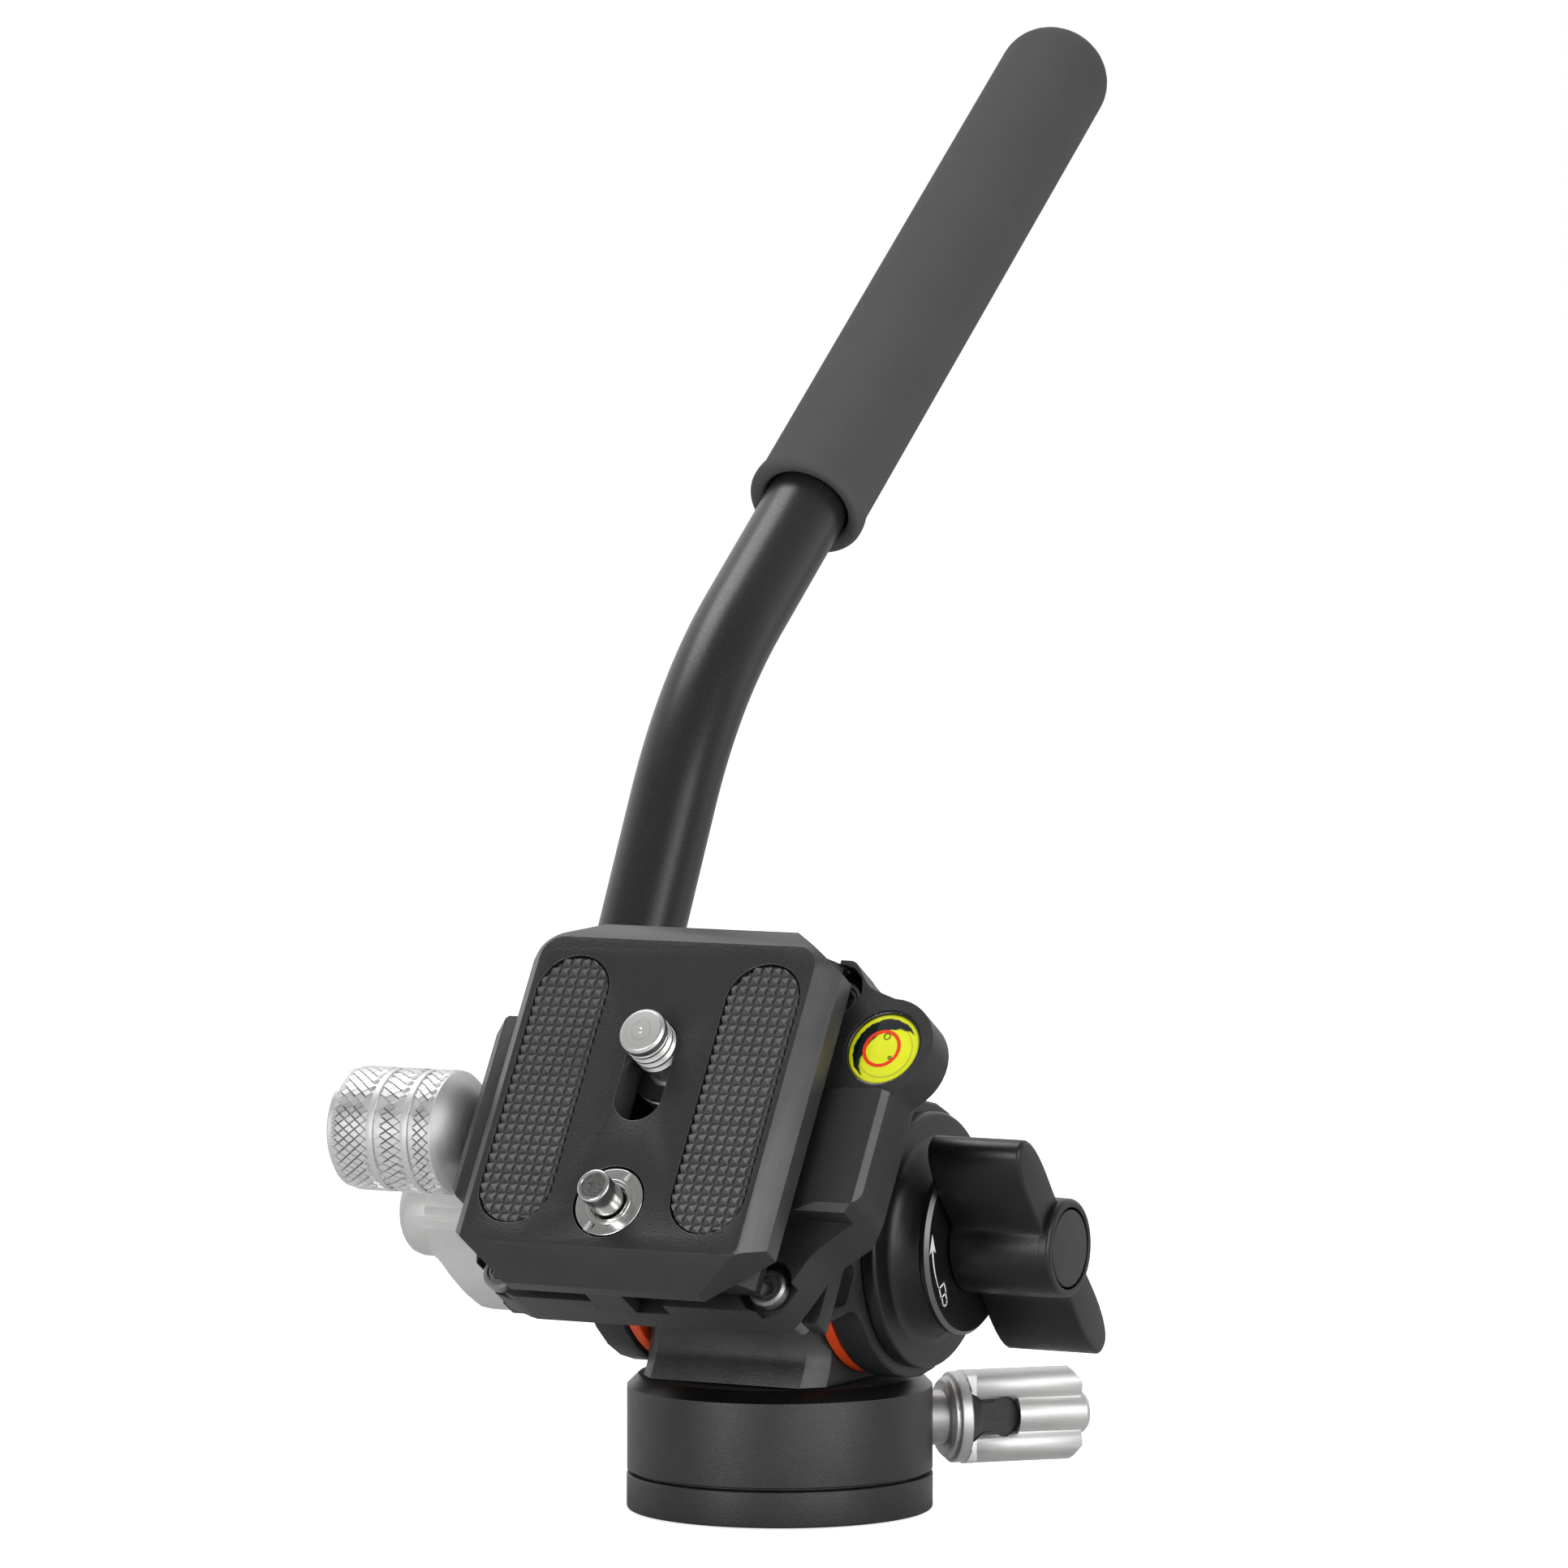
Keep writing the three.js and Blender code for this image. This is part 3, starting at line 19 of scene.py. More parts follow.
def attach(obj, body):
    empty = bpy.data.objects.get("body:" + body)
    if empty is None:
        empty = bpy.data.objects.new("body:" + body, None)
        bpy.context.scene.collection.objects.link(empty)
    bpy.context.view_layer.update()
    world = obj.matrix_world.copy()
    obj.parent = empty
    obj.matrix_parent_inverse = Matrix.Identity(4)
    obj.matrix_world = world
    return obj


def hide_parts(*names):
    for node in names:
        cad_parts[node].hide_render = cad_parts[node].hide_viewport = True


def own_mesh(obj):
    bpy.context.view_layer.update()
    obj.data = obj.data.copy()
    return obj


BMesh = bmesh.types.BMesh
Tree = bpy.types.NodeTree
Socket = bpy.types.NodeSocket
Object = bpy.types.Object
Corner = Sequence[float]
Pair = tuple[float, float]
Triple = tuple[float, float, float]

LOG = logging.getLogger("video_head")
MM = 0.001
DEGREE = math.pi / 180
FULL_TURN = 2 * math.pi
QUARTER_X = Matrix.Rotation(math.pi / 2, 4, "X")
# Turns X to Y, Y to Z and Z to X
CYCLE_AXES = Matrix(((0, 0, 1, 0), (1, 0, 0, 0), (0, 1, 0, 0), (0, 0, 0, 1)))
# Points nearer than this are one, in millimetres and for CAD meshes in metres
WELD = 0.001
CAD_WELD = 0.00001
SMOOTH_ANGLE = 36 * DEGREE
FLAT_ANGLE = 0.5 * DEGREE
# How much of a slot's half width its round end takes, so that a short edge is left
ROUND_SHARE = 0.999

TILT_HEIGHT = 36.2
TILT_LEAN = 58.3 * DEGREE
HANDLE_LEAN = -27.5 * DEGREE
HANDLE_PLANE = 31.0
TUBE_STRAIGHT = 76.5
TUBE_BEND = 24.8 * DEGREE
PAN_LOCK_HEIGHT = 10.8
PAN_LOCK_TURN = 45 * DEGREE
PLATE_TOP = 43.6
CLAMP_AXIS = (0.0, -2.5, 30.2)
SCREW_AXIS = (0.0, 5.3, 0.0)
PIN_AXIS = (0.0, -17.0, 0.0)
LEVEL_AXIS = (27.9, 10.2, 0.0)

NOISE_DETAIL = 4.0
MOULDED_DETAIL = 2.0
# The part of a noise's range that is spread from 0 to 1
NOISE_RANGE = (0.3, 0.7)
ROUGHNESS_SPREAD = 0.15
# How fast the lathe's rings change across a turned piece
RING_DRIFT = 0.02
SPIRIT_NAME = "spirit_yellow_green"


class Place(Enum):
    """Where a sub-assembly's own millimetre frame lies in the row frame. ROW is that frame itself."""

    ROW = "row"
    UPRIGHT = "upright"
    HEAD = "head"
    HANDLE = "handle"
    GRIP = "grip"
    PAN_LOCK = "pan_lock"

    @property
    def matrix(self) -> Matrix:
        """Returns: the matrix from this frame to the row frame, which is in metres."""
        lift = Matrix.Translation((0, 0, TILT_HEIGHT))
        handle = lift @ Matrix.Rotation(HANDLE_LEAN, 4, "X")
        bend = Matrix.Translation((-HANDLE_PLANE, 0, TUBE_STRAIGHT)) @ Matrix.Rotation(-TUBE_BEND, 4, "X")
        lock = Matrix.Translation((0, 0, PAN_LOCK_HEIGHT)) @ Matrix.Rotation(PAN_LOCK_TURN, 4, "Z")
        turns = {
            Place.UPRIGHT: Matrix.Identity(4),
            Place.HEAD: lift @ Matrix.Rotation(TILT_LEAN, 4, "X"),
            Place.HANDLE: handle,
            Place.GRIP: handle @ bend,
            Place.PAN_LOCK: lock,
        }
        return Matrix.Identity(4) if self is Place.ROW else Matrix.Scale(MM, 4) @ turns[self]


class Axis(Enum):
    """The axis that a turned piece is turned about, in its own frame."""

    X = "x"
    Z = "z"

    @property
    def matrix(self) -> Matrix:
        """Returns: the turn from the Z axis to this axis."""
        return Matrix.Rotation(math.pi / 2, 4, "Y") if self is Axis.X else Matrix.Identity(4)


def srgb(code: str) -> tuple[float, float, float, float]:
    """Turns a hex colour into a linear one.

    Args:
        code: the colour as six hex digits.
    Returns: red, green, blue and alpha, linear.
    """
    values = [int(code[i:i + 2], 16) / 255 for i in (0, 2, 4)]
    linear = [v / 12.92 if v <= 0.04045 else ((v + 0.055) / 1.055) ** 2.4 for v in values]
    return (*linear, 1.0)


class Grain(Enum):
    """How a surface was worked."""

    BLASTED = "blasted"
    BRUSHED = "brushed"
    TURNED = "turned"
    MOULDED = "moulded"


@dataclass(frozen=True)
class Finish:
    """A real material and how it was worked.

    The grain is drawn in the frame of place, about centre. Brushed grain is stretched by along and
    turned grain makes rings about axis. An edge_mm rounds the edges that the mesh leaves sharp.
    """

    name: str
    colour: str
    metallic: float
    roughness: float
    grain: Grain = Grain.BLASTED
    grain_mm: float = 0.12
    relief: float = 0.1
    relief_mm: float = 0.01
    mottle: float = 0.12
    mottle_mm: float = 5.0
    ior: float = 1.5
    coat: float = 0.0
    place: Place = Place.UPRIGHT
    axis: Axis = Axis.Z
    centre: Triple = (0.0, 0.0, 0.0)
    along: Triple = (1.0, 1.0, 1.0)
    edge_mm: float = 0.0
    slot: str = "black_anodised"

    def about(self, name: str, place: Place, axis: Axis, centre: Triple) -> "Finish":
        """Gives the same finish on another turned piece.

        Args:
            name: what the piece adds to the finish's name.
            place: the piece's frame.
            axis: the axis that it is turned about.
            centre: a point on that axis.
        Returns: the new finish.
        """
        return replace(self, name=f"{self.name}_{name}", place=place, axis=axis, centre=centre)


def node(tree: Tree, kind: str, settings: dict | None = None, **sockets: object) -> bpy.types.Node:
    """Adds a shader node.

    Args:
        tree: the tree that gets it.
        kind: the node's type name after ShaderNode.
        settings: plain attributes of the node.
        sockets: values or output sockets, by input name with _ for a blank or by _ and the input's number.
    Returns: the new node.
    """
    made = tree.nodes.new(f"ShaderNode{kind}")
    for key, value in (settings or {}).items():
        setattr(made, key, value)
    for key, value in sockets.items():
        socket = made.inputs[int(key[1:])] if key[0] == "_" else made.inputs[key.replace("_", " ")]
        if isinstance(value, Socket):
            tree.links.new(value, socket)
        else:
            socket.default_value = value
    return made


def calc(tree: Tree, operation: str, *values: object) -> Socket:
    """Adds a math node.

    Args:
        tree: the tree that gets it.
        operation: what it does.
        values: its numbers or sockets, in order.
    Returns: its result.
    """
    inputs = {f"_{i}": value for i, value in enumerate(values)}
    return node(tree, "Math", {"operation": operation}, **inputs).outputs[0]


def mixed(tree: Tree, share: Socket, first: object, second: object) -> Socket:
    """Mixes two colours.

    Args:
        tree: the tree that gets the node.
        share: how much of the second shows.
        first: a colour or socket.
        second: a colour or socket.
    Returns: the mixed colour.
    """
    return node(tree, "Mix", {"data_type": "RGBA"}, Factor=share, _6=first, _7=second).outputs[2]


def blank_tree(owner: bpy.types.Material | bpy.types.World) -> Tree:
    """Clears the nodes of a material or world.

    Args:
        owner: the material or world.
    Returns: its empty tree.
    """
    owner.use_nodes = True
    owner.node_tree.nodes.clear()
    return owner.node_tree


def local_coords(tree: Tree, finish: Finish) -> Socket:
    """Makes coordinates in millimetres in a finish's own frame.

    Args:
        tree: the material's tree.
        finish: the finish.
    Returns: the coordinates.
    """
    back = (finish.place.matrix @ Matrix.Translation(finish.centre)).inverted()
    coords = node(tree, "TexCoord").outputs["Object"]
    return node(
        tree, "Mapping", Vector=coords, Location=back.to_translation(), Rotation=tuple(back.to_euler()),
        Scale=(1 / MM, 1 / MM, 1 / MM)).outputs[0]


def grain_height(tree: Tree, finish: Finish, coords: Socket) -> Socket:
    """Makes the height pattern of a worked surface.

    Args:
        tree: the material's tree.
        finish: the finish.
        coords: coordinates in millimetres in the finish's frame.
    Returns: the height from 0 to 1.
    """
    scale = 1 / finish.grain_mm
    if finish.grain is Grain.TURNED:
        parts = node(tree, "SeparateXYZ", Vector=coords).outputs
        order = (1, 2, 0) if finish.axis is Axis.X else (0, 1, 2)
        first, second, along = (parts[i] for i in order)
        square = calc(tree, "MULTIPLY_ADD", first, first, calc(tree, "MULTIPLY", second, second))
        radial = calc(tree, "SQRT", square)
        drift = calc(tree, "MULTIPLY", first, RING_DRIFT)
        coords = node(tree, "CombineXYZ", X=radial, Y=along, Z=drift).outputs[0]
    elif finish.grain is Grain.BRUSHED:
        coords = node(tree, "Mapping", Vector=coords, Scale=finish.along).outputs[0]
    detail = MOULDED_DETAIL if finish.grain is Grain.MOULDED else NOISE_DETAIL
    return node(tree, "TexNoise", Vector=coords, Scale=scale, Detail=detail).outputs["Fac"]


def material(finish: Finish) -> bpy.types.Material:
    """Makes a finish's material once.

    Args:
        finish: the finish.
    Returns: the material.
    """
    known = bpy.data.materials.get(finish.name)
    if known:
        return known
    made = bpy.data.materials.new(finish.name)
    tree = blank_tree(made)
    coords = local_coords(tree, finish)
    mottle = node(tree, "TexNoise", Vector=coords, Scale=1 / finish.mottle_mm, Detail=NOISE_DETAIL)
    height = grain_height(tree, finish, coords)
    dark, light = (
        (*(min(1.0, part * (1 + sign * finish.mottle)) for part in srgb(finish.colour)[:3]), 1.0)
        for sign in (-1, 1))
    share = calc(tree, "MULTIPLY_ADD", mottle.outputs["Fac"], 0.5, calc(tree, "MULTIPLY", height, 0.5))
    low, high = NOISE_RANGE
    colour = mixed(tree, node(tree, "MapRange", Value=share, _1=low, _2=high).outputs[0], dark, light)
    colour = spirit_pattern(tree, coords, colour) if finish.name == SPIRIT_NAME else colour
    rough = node(
        tree, "MapRange", Value=height, _1=low, _2=high, _3=finish.roughness * (1 - ROUGHNESS_SPREAD),
        _4=min(1.0, finish.roughness * (1 + ROUGHNESS_SPREAD)))
    bump = node(tree, "Bump", Height=height, Strength=finish.relief, Distance=finish.relief_mm * MM)
    if finish.edge_mm:
        rounded = node(tree, "Bevel", {"samples": 4}, Radius=finish.edge_mm * MM)
        tree.links.new(rounded.outputs[0], bump.inputs["Normal"])
    shader = node(
        tree, "BsdfPrincipled", Base_Color=colour, Metallic=finish.metallic, Roughness=rough.outputs[0],
        Normal=bump.outputs[0], IOR=finish.ior, Coat_Weight=finish.coat)
    node(tree, "OutputMaterial", Surface=shader.outputs[0])
    return made


def near(tree: Tree, coords: Socket, centre: Corner, radius: float, soft: float) -> Socket:
    """Makes a soft round mask.

    Args:
        tree: the material's tree.
        coords: coordinates in millimetres.
        centre: the middle of the mask, in the plane.
        radius: its radius.
        soft: the width of its soft edge.
    Returns: 1 inside and 0 outside.
    """
    flat = node(tree, "VectorMath", {"operation": "MULTIPLY"}, _0=coords, _1=(1.0, 1.0, 0.0))
    reach = node(tree, "VectorMath", {"operation": "DISTANCE"}, _0=flat.outputs[0], _1=(*centre, 0.0))
    return node(
        tree, "MapRange", {"interpolation_type": "SMOOTHSTEP"}, Value=reach.outputs["Value"],
        _1=radius - soft, _2=radius + soft, _3=1.0, _4=0.0).outputs[0]


def spirit_pattern(tree: Tree, coords: Socket, colour: Socket) -> Socket:
    """Draws what the domed vial bends into view: the dark wall as a crescent and the spirit round it.

    Args:
        tree: the material's tree.
        coords: coordinates in millimetres about the vial.
        colour: the spirit's plain colour.
    Returns: the colour with the crescent.
    """
    uneven = node(tree, "TexNoise", Vector=coords, Scale=0.9, Detail=3.0).outputs["Color"]
    shift = node(tree, "VectorMath", {"operation": "SUBTRACT"}, _0=uneven, _1=(0.5, 0.5, 0.5))
    bent = node(
        tree, "VectorMath", {"operation": "MULTIPLY_ADD"}, _0=shift.outputs[0], _1=(0.7, 0.7, 0.0),
        _2=coords).outputs[0]
    outer = near(tree, bent, (0.05, -0.1), 4.35, 0.1)
    inner = near(tree, bent, (1.45, -1.5), 4.3, 0.16)
    crescent = calc(tree, "MULTIPLY", outer, calc(tree, "SUBTRACT", 1.0, inner))
    step = calc(tree, "SUBTRACT", near(tree, coords, (0.35, -0.35), 3.75, 0.08),
                near(tree, coords, (0.25, -0.25), 3.6, 0.08))
    rim = calc(tree, "SUBTRACT", 1.0, near(tree, coords, (0.0, 0.0), 4.75, 0.2))
    for mask, code in ((step, "c4cc18"), (rim, "7f8a0e"), (crescent, "0b1a1e")):
        colour = mixed(tree, mask, colour, srgb(code))
    return colour


# Aluminium with black anodising, blasted with fine beads
BLASTED_BLACK = Finish(
    "anodised_black_blasted", "1f1f20", 0.0, 0.48, relief=0.7, relief_mm=0.06, grain_mm=0.24, mottle=0.3)
# The same on the platform, whose edges are broken by tumbling
PLATFORM_BLACK = replace(BLASTED_BLACK, name="anodised_black_platform", edge_mm=0.22)
# The same, on the plate's face, darker to paint the shade on the face
PLATE_SHADE_BLACK = replace(
    BLASTED_BLACK, name="anodised_black_plate_face_painted_shade", colour="161617", roughness=0.5, relief=1.0,
    relief_mm=0.08, grain_mm=0.28)
# The same, on the round housing, a little smoother
HOUSING_BLACK = replace(
    BLASTED_BLACK, name="anodised_black_housing", roughness=0.42, relief=0.7, colour="272728")
# Milled flats left with fine cutter lines along the plate, then anodised, and lightened to paint the sheen
# that they catch
BRUSHED_PLATE = Finish(
    "anodised_black_milled_flat_painted_sheen", "464648", 0.35, 0.4, Grain.BRUSHED, 0.14, 0.5, relief_mm=0.02, mottle=0.2,
    place=Place.HEAD, along=(1.0, 0.02, 1.0), ior=1.6)
# The same milled finish on the plate's front end, darker to paint the shade on the faces that face the front
BRUSHED_ACROSS_SHADE = replace(
    BRUSHED_PLATE, name="anodised_black_milled_end_painted_shade", colour="2b2b2d", along=(0.02, 1.0, 1.0))
# The same on the platform's slopes, lighter to paint their sheen
BRUSHED_PLATFORM = replace(
    BRUSHED_PLATE, name="anodised_black_milled_platform", colour="4a4a4c", edge_mm=0.2)
BRUSHED_SADDLE = replace(
    BRUSHED_PLATE, name="anodised_black_milled_saddle", colour="2e2e30", place=Place.UPRIGHT,
    along=(1.0, 1.0, 0.02))
# The saddle block, blasted more lightly, so that it keeps a metal sheen
SADDLE_BLACK = replace(
    BLASTED_BLACK, name="anodised_black_saddle", colour="3c3c3e", metallic=0.45, roughness=0.42, relief=0.8)
# Edges cut by a fine cutter after anodising, lightened to paint the highlight that they catch
BRIGHT_EDGE = replace(
    BRUSHED_PLATE, name="anodised_black_cut_edge", colour="98989a", metallic=0.7, roughness=0.4)
# Turned faces with fine rings from the lathe
TURNED_BLACK = Finish(
    "anodised_black_turned", "0b0b0c", 0.0, 0.38, Grain.TURNED, 0.14, 0.3, relief_mm=0.015, mottle=0.2)
COVER_BLACK = TURNED_BLACK.about("cover", Place.HEAD, Axis.X, (0.0, 0.0, 0.0))
# Chamfers cut bright on the lathe
BRIGHT_CHAMFER = replace(COVER_BLACK, name="anodised_black_bright_chamfer", colour="6a6a6c", metallic=0.6)
# Knob faces that are tumbled to a soft sheen
SATIN_BLACK = Finish(
    "anodised_black_satin", "0f0f10", 0.0, 0.36, relief=0.45, relief_mm=0.025, grain_mm=0.24, mottle=0.15)
CAP_BLACK = replace(SATIN_BLACK, name="anodised_black_cap", colour="29292a", roughness=0.48, relief=0.7)
# Chamfer cut after blasting with a diamond tool, its colour darkened to paint the shade and dark reflection
# on the housing's top chamfer
POLISHED_SHADE_BLACK = Finish("anodised_black_polished_painted_shade", "0a0a0b", 0.0, 0.34, relief=0.0, grain_mm=0.3, ior=1.45)
# Clear anodised aluminium, satin
SATIN_SILVER = Finish(
    "anodised_silver_satin", "d2d2d1", 1.0, 0.5, relief=0.25, relief_mm=0.02, grain_mm=0.24, mottle=0.08,
    slot="silver_anodised")
# The rough floor of a ball-milled recess, darkened to paint the shade and the dark reflection in the recess
RECESS_SHADE_SILVER = Finish(
    "anodised_silver_recess_painted_shade", "3c3c3d", 0.6, 0.5, relief=1.0, relief_mm=0.06, grain_mm=0.3, mottle=0.3,
    slot="silver_anodised")
KNURLED_SILVER = Finish(
    "anodised_silver_knurled", "dadad9", 1.0, 0.36, relief=0.1, mottle=0.1, slot="silver_anodised")
TURNED_SILVER = Finish(
    "anodised_silver_turned", "c2c2c1", 1.0, 0.3, Grain.TURNED, 0.14, 0.25, mottle=0.06,
    slot="silver_anodised")
CLAMP_SILVER = replace(
    TURNED_SILVER, name="anodised_silver_bell", colour="d4d4d3",
    roughness=0.5).about("clamp_knob", Place.HEAD, Axis.X, CLAMP_AXIS)
# Nickel plated steel, turned
PLATED_STEEL = Finish(
    "steel_nickel_plated", "d4d4d2", 1.0, 0.4, Grain.TURNED, 0.16, 0.5, relief_mm=0.015, mottle=0.08,
    place=Place.HEAD, slot="steel")
SCREW_STEEL = PLATED_STEEL.about("camera_screw", Place.HEAD, Axis.Z, SCREW_AXIS)
PIN_STEEL = replace(
    PLATED_STEEL, roughness=0.18, relief=0.2).about("video_pin", Place.HEAD, Axis.Z, PIN_AXIS)
WORN_STEEL = Finish(
    "steel_worn_pin_end", "6e6e6c", 1.0, 0.42, relief=1.0, relief_mm=0.06, grain_mm=0.3, mottle=0.55,
    mottle_mm=0.5, slot="steel")
DULL_STEEL = Finish(
    "steel_black_oxide_screw", "8c8c8e", 1.0, 0.38, relief=0.4, relief_mm=0.02, grain_mm=0.3, mottle=0.2,
    slot="steel")
TURNED_BRASS = Finish("brass_turned", "b08c4a", 1.0, 0.3, Grain.TURNED, 0.12, 0.2, slot="brass")
# Orange acetal friction ring
ORANGE_ACETAL = Finish(
    "acetal_orange", "e04a14", 0.0, 0.42, Grain.MOULDED, 0.5, 0.05, mottle=0.06, slot="orange_plastic")
WHITE_ACETAL = Finish("acetal_white", "e6e4df", 0.0, 0.4, Grain.MOULDED, 0.5, 0.05, slot="white_plastic")
BLACK_ACETAL = Finish("acetal_black", "1a1a1b", 0.0, 0.4, Grain.MOULDED, 0.5, 0.05, slot="black_plastic")
# Moulded black rubber
PAD_RUBBER = Finish(
    "rubber_black_moulded", "464647", 0.0, 0.28, Grain.MOULDED, 0.25, 0.1, relief_mm=0.02, mottle=0.2,
    slot="rubber", ior=1.52)
# Closed-cell foam sleeve with a fine skin
GRIP_FOAM = Finish(
    "foam_rubber_dark", "4a4a4b", 0.0, 0.85, Grain.BLASTED, 0.25, 0.7, relief_mm=0.04, mottle=0.1,
    mottle_mm=11, slot="grip_foam")
# Satin painted aluminium tube
PAINTED_TUBE = Finish(
    "paint_black_satin", "1f1f20", 0.0, 0.32, Grain.MOULDED, 0.4, 0.3, relief_mm=0.015, mottle=0.12)
PRINT_WHITE = Finish("pad_print_white", "f2f2f0", 0.0, 0.5, Grain.MOULDED, 0.2, 0.03, mottle=0.03)
# Dyed spirit in an acrylic vial, seen through its clear top
SPIRIT = Finish(
    SPIRIT_NAME, "eaf01e", 0.0, 0.12, Grain.MOULDED, 1.6, 0.1, relief_mm=0.02, mottle=0.06, coat=1.0,
    slot="level_fluid", place=Place.HEAD, centre=LEVEL_AXIS)
BUBBLE_EDGE = replace(SPIRIT, name="spirit_bubble_edge", colour="4c5a12")
RING_RED = Finish(
    "print_orange_red", "ec3a10", 0.0, 0.4, Grain.MOULDED, 0.2, 0.02, mottle=0.04, slot="level_fluid")
# Bead of black glue round the vial
GLUE = Finish("glue_black_glossy", "101012", 0.0, 0.2, Grain.MOULDED, 0.35, 1.0, relief_mm=0.08, coat=0.5)


def as_mesh(name: str, bm: BMesh) -> bpy.types.Mesh:
    """Turns a bmesh into mesh data.

    Args:
        name: the data's name.
        bm: the mesh, freed here.
    Returns: the data.
    """
    mesh = bpy.data.meshes.new(name)
    bm.to_mesh(mesh)
    bm.free()
    return mesh


def linked(name: str, data: bpy.types.ID) -> Object:
    """Puts an object into the scene.

    Args:
        name: its name.
        data: its mesh, curve, camera or lamp.
    Returns: the object.
    """
    made = bpy.data.objects.new(name, data)
    bpy.context.scene.collection.objects.link(made)
    return made


def weld(bm: BMesh, reach: float = WELD) -> None:
    """Merges points that lie together.

    Args:
        bm: the mesh.
        reach: how near they lie, in the mesh's unit.
    """
    bmesh.ops.remove_doubles(bm, verts=bm.verts[:], dist=reach)


def outward(bm: BMesh) -> None:
    """Turns all faces outward.

    Args:
        bm: the mesh.
    """
    bmesh.ops.recalc_face_normals(bm, faces=bm.faces[:])


def new_verts(made: dict[str, list]) -> list[bmesh.types.BMVert]:
    """Picks the points out of what an operator made.

    Args:
        made: the operator's result.
    Returns: the points.
    """
    return [item for item in made["geom"] if isinstance(item, bmesh.types.BMVert)]


def open_edges(bm: BMesh) -> list[bmesh.types.BMEdge]:
    """Finds the edges with one face only.

    Args:
        bm: the mesh.
    Returns: the edges.
    """
    return [edge for edge in bm.edges if len(edge.link_faces) == 1]


def mesh_object(name: str, bm: BMesh, matrix: Matrix) -> Object:
    """Turns a bmesh into a scene object in the row frame.

    Args:
        name: the piece's name.
        bm: its mesh, freed here.
        matrix: from its own frame to the row frame.
    Returns: the object.
    """
    bm.transform(matrix)
    outward(bm)
    return linked(name, as_mesh(name, bm))


def smooth(piece: Object, angle: float) -> None:
    """Shades a piece smooth where its faces meet at less than an angle.

    Args:
        piece: the object.
        angle: the largest smooth angle.
    """
    bm = bmesh.new()
    bm.from_mesh(piece.data)
    for face in bm.faces:
        face.smooth = True
    for edge in bm.edges:
        edge.smooth = len(edge.link_faces) == 2 and edge.calc_face_angle(0.0) < angle
    bm.to_mesh(piece.data)
    bm.free()


def add(
    name: str, bm: BMesh, body: str, finishes: Finish | Sequence[Finish], nodes: Iterable[str] = (),
    angle: float = SMOOTH_ANGLE, place: Place = Place.HEAD,
) -> Object:
    """Makes a piece, gives it its finishes and its body, and hides the CAD nodes that it stands for.

    Args:
        name: the piece's name.
        bm: its mesh, freed here.
        body: the CAD body that carries it.
        finishes: one finish, or one per material index.
        nodes: the CAD nodes that it replaces.
        angle: the largest smooth angle.
        place: the mesh's own frame.
    Returns: the piece.
    """
    piece = mesh_object(name, bm, place.matrix)
    listed = [finishes] if isinstance(finishes, Finish) else list(finishes)
    for finish in listed:
        piece.data.materials.append(material(finish))
    smooth(piece, angle)
    if nodes:
        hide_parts(*nodes)
    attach(piece, body)
    LOG.info("%s rides on %s, finish %s", name, body, listed[0].name)
    return piece


def polar(radius: float, angle: float) -> list[float]:
    """Gives the point at a distance and an angle.

    Args:
        radius: its distance from the middle.
        angle: its angle.
    Returns: the point.
    """
    return [radius * math.cos(angle), radius * math.sin(angle)]


def flat_face(bm: BMesh, corners: Sequence[Corner], up: float = 0.0, segments: int = 8) -> bmesh.types.BMFace:
    """Draws a face from corners, each [x, y] or [x, y, rounding].

    Args:
        bm: the mesh that gets it.
        corners: the corners, in order.
        up: its height.
        segments: steps of each rounded corner.
    Returns: the face.
    """
    verts = [bm.verts.new((corner[0], corner[1], up)) for corner in corners]
    bm.faces.new(verts)
    for vert, corner in zip(verts, corners):
        if len(corner) > 2 and corner[2] > 0:
            bmesh.ops.bevel(
                bm, geom=[vert], offset=corner[2], offset_type="OFFSET", segments=segments, profile=0.5,
                affect="VERTICES", material=-1)
    bm.faces.ensure_lookup_table()
    return bm.faces[-1]


def thicken(bm: BMesh, faces: Sequence[bmesh.types.BMFace], height: float) -> None:
    """Pushes faces up into solids.

    Args:
        bm: the mesh.
        faces: its faces.
        height: how far they are pushed.
    """
    made = bmesh.ops.extrude_face_region(bm, geom=faces)
    bmesh.ops.translate(bm, vec=(0, 0, height), verts=new_verts(made))


def prism(corners: Sequence[Corner], low: float, high: float, segments: int = 8) -> BMesh:
    """Pushes an outline up from one height to another.

    Args:
        corners: its corners, each [x, y] or [x, y, rounding].
        low: the lower height.
        high: the upper height.
        segments: steps of each rounded corner.
    Returns: the closed mesh.
    """
    bm = bmesh.new()
    thicken(bm, [flat_face(bm, corners, low, segments)], high - low)
    outward(bm)
    return bm


def stadium(across: float, front: float, back: float, half: float) -> list[Corner]:
    """Gives the corners of a slot with round ends.

    Args:
        across: the place of its middle line.
        front: its lower end.
        back: its upper end.
        half: half its width.
    Returns: the corners.
    """
    return [
        [across + side * half, end, half * ROUND_SHARE]
        for side, end in ((-1, front), (1, front), (1, back), (-1, back))]


def disc(centre: Corner, radius: float, low: float, high: float, steps: int = 64) -> BMesh:
    """Makes a round bar along Z.

    Args:
        centre: its middle.
        radius: its radius.
        low: its lower end.
        high: its upper end.
        steps: its sides.
    Returns: the closed mesh.
    """
    bm = bmesh.new()
    bmesh.ops.create_cone(
        bm, cap_ends=True, segments=steps, radius1=radius, radius2=radius, depth=high - low,
        matrix=Matrix.Translation((centre[0], centre[1], (low + high) / 2)))
    return bm


